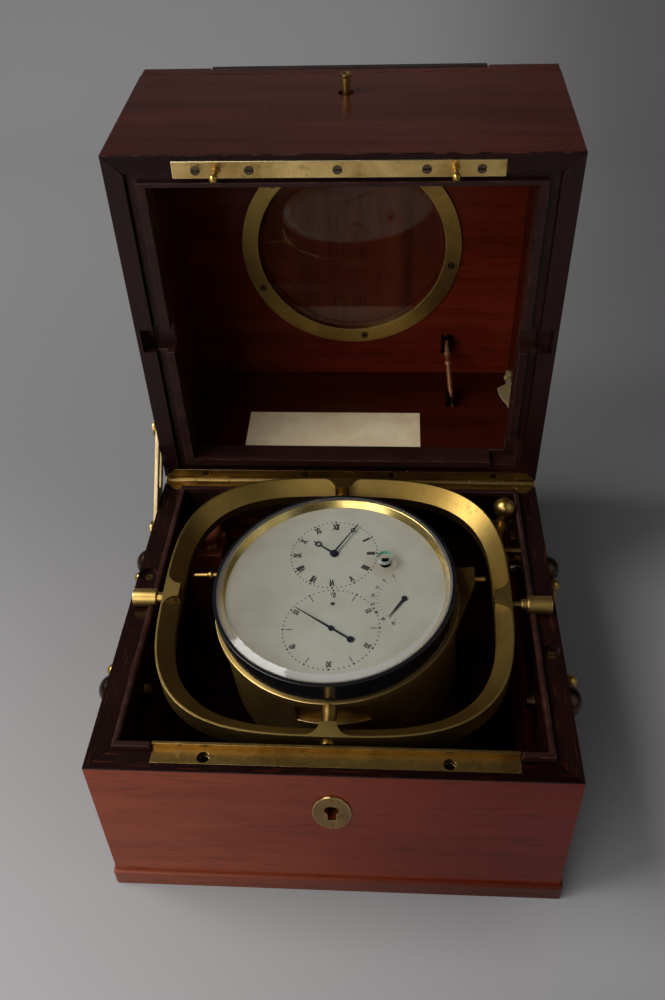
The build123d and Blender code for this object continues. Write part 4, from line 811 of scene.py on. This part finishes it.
def floorPaper(look):
    made = Finish("backdropPaper")
    x, y = made.parts(made.place)[:2]
    paintedRearShade, paintedLightBeside = look["paintedRearShade"], look["paintedLightBeside"]
    # painted pool of light in front, painted shade across the middle
    tone = made.mix((y + x * look["slant"]).soft(*look["nearLimits"]), look["near"], look["middle"])
    tone = made.mix(y.soft(*look["farLimits"]), tone, look["far"])
    tone = made.tinted(x.soft(*paintedRearShade["x"]) * y.soft(*paintedRearShade["y"]), tone, paintedRearShade["tint"])
    # painted light: the floor is lighter beside the case's right side, over the case's cast shadow
    beside = x.soft(*paintedLightBeside["x"]) * y.soft(*paintedLightBeside["y"]) * (1.0 - y.soft(*paintedLightBeside["end"]))
    tone = made.tinted(beside, tone, paintedLightBeside["tint"])
    return made.finished(Base_Color=tone, Roughness=look["rough"])


def backdrop(look):
    shape = bmesh.new()
    start = shape.verts.new((-look["half"], look["front"], 0))
    bend = shape.verts.new((-look["half"], look["bend"], 0))
    shape.edges.new((start, bend))
    turned = bmesh.ops.spin(
        shape, geom=[bend], cent=(-look["half"], look["bend"], look["radius"]), axis=(1, 0, 0),
        angle=math.pi / 2, steps=look["steps"], use_merge=False,
    )
    last = [part for part in turned["geom_last"] if isinstance(part, bmesh.types.BMVert)][0]
    raised = bmesh.ops.extrude_vert_indiv(shape, verts=[last])
    bmesh.ops.translate(shape, vec=(0, 0, look["rise"]), verts=raised["verts"])
    sheet = bmesh.ops.extrude_edge_only(shape, edges=list(shape.edges))
    verts = [part for part in sheet["geom"] if isinstance(part, bmesh.types.BMVert)]
    bmesh.ops.translate(shape, vec=(2 * look["half"], 0, 0), verts=verts)
    bmesh.ops.recalc_face_normals(shape, faces=shape.faces)
    piece = placed("backdrop", shape, floorPaper(look))
    smoothed(piece.data)


backdrop(studio)

# Soft lamps, all aimed at the middle of the case
lampTarget = Vector((0, 0, 0.08))
lamps = {
    "key": {"place": (-0.80, -0.10, 1.05), "size": 0.75, "power": 15, "colour": (1.0, 0.985, 0.96)},
    "front": {"place": (-0.70, -1.15, 0.75), "size": 1.0, "power": 9, "colour": (1.0, 0.98, 0.96)},
    "right": {"place": (1.1, -0.5, 0.9), "size": 1.4, "power": 2.5, "colour": (0.97, 0.98, 1.0)},
}
for name, lamp in lamps.items():
    light = bpy.data.lights.new(name, "AREA")
    light.shape = "SQUARE"
    light.size = lamp["size"]
    light.energy = lamp["power"]
    light.color = lamp["colour"]
    holder = bpy.data.objects.new(name, light)
    holder.location = lamp["place"]
    aim = lampTarget - Vector(lamp["place"])
    holder.rotation_euler = aim.to_track_quat("-Z", "Y").to_euler()
    bpy.context.scene.collection.objects.link(holder)

room = {"colour": (0.60, 0.60, 0.61, 1), "strength": 0.05}
world = bpy.data.worlds.new("room")
world.use_nodes = True
world.node_tree.nodes["Background"].inputs["Color"].default_value = room["colour"]
world.node_tree.nodes["Background"].inputs["Strength"].default_value = room["strength"]
bpy.context.scene.world = world
print("studio lit,", len(lamps), "lamps")
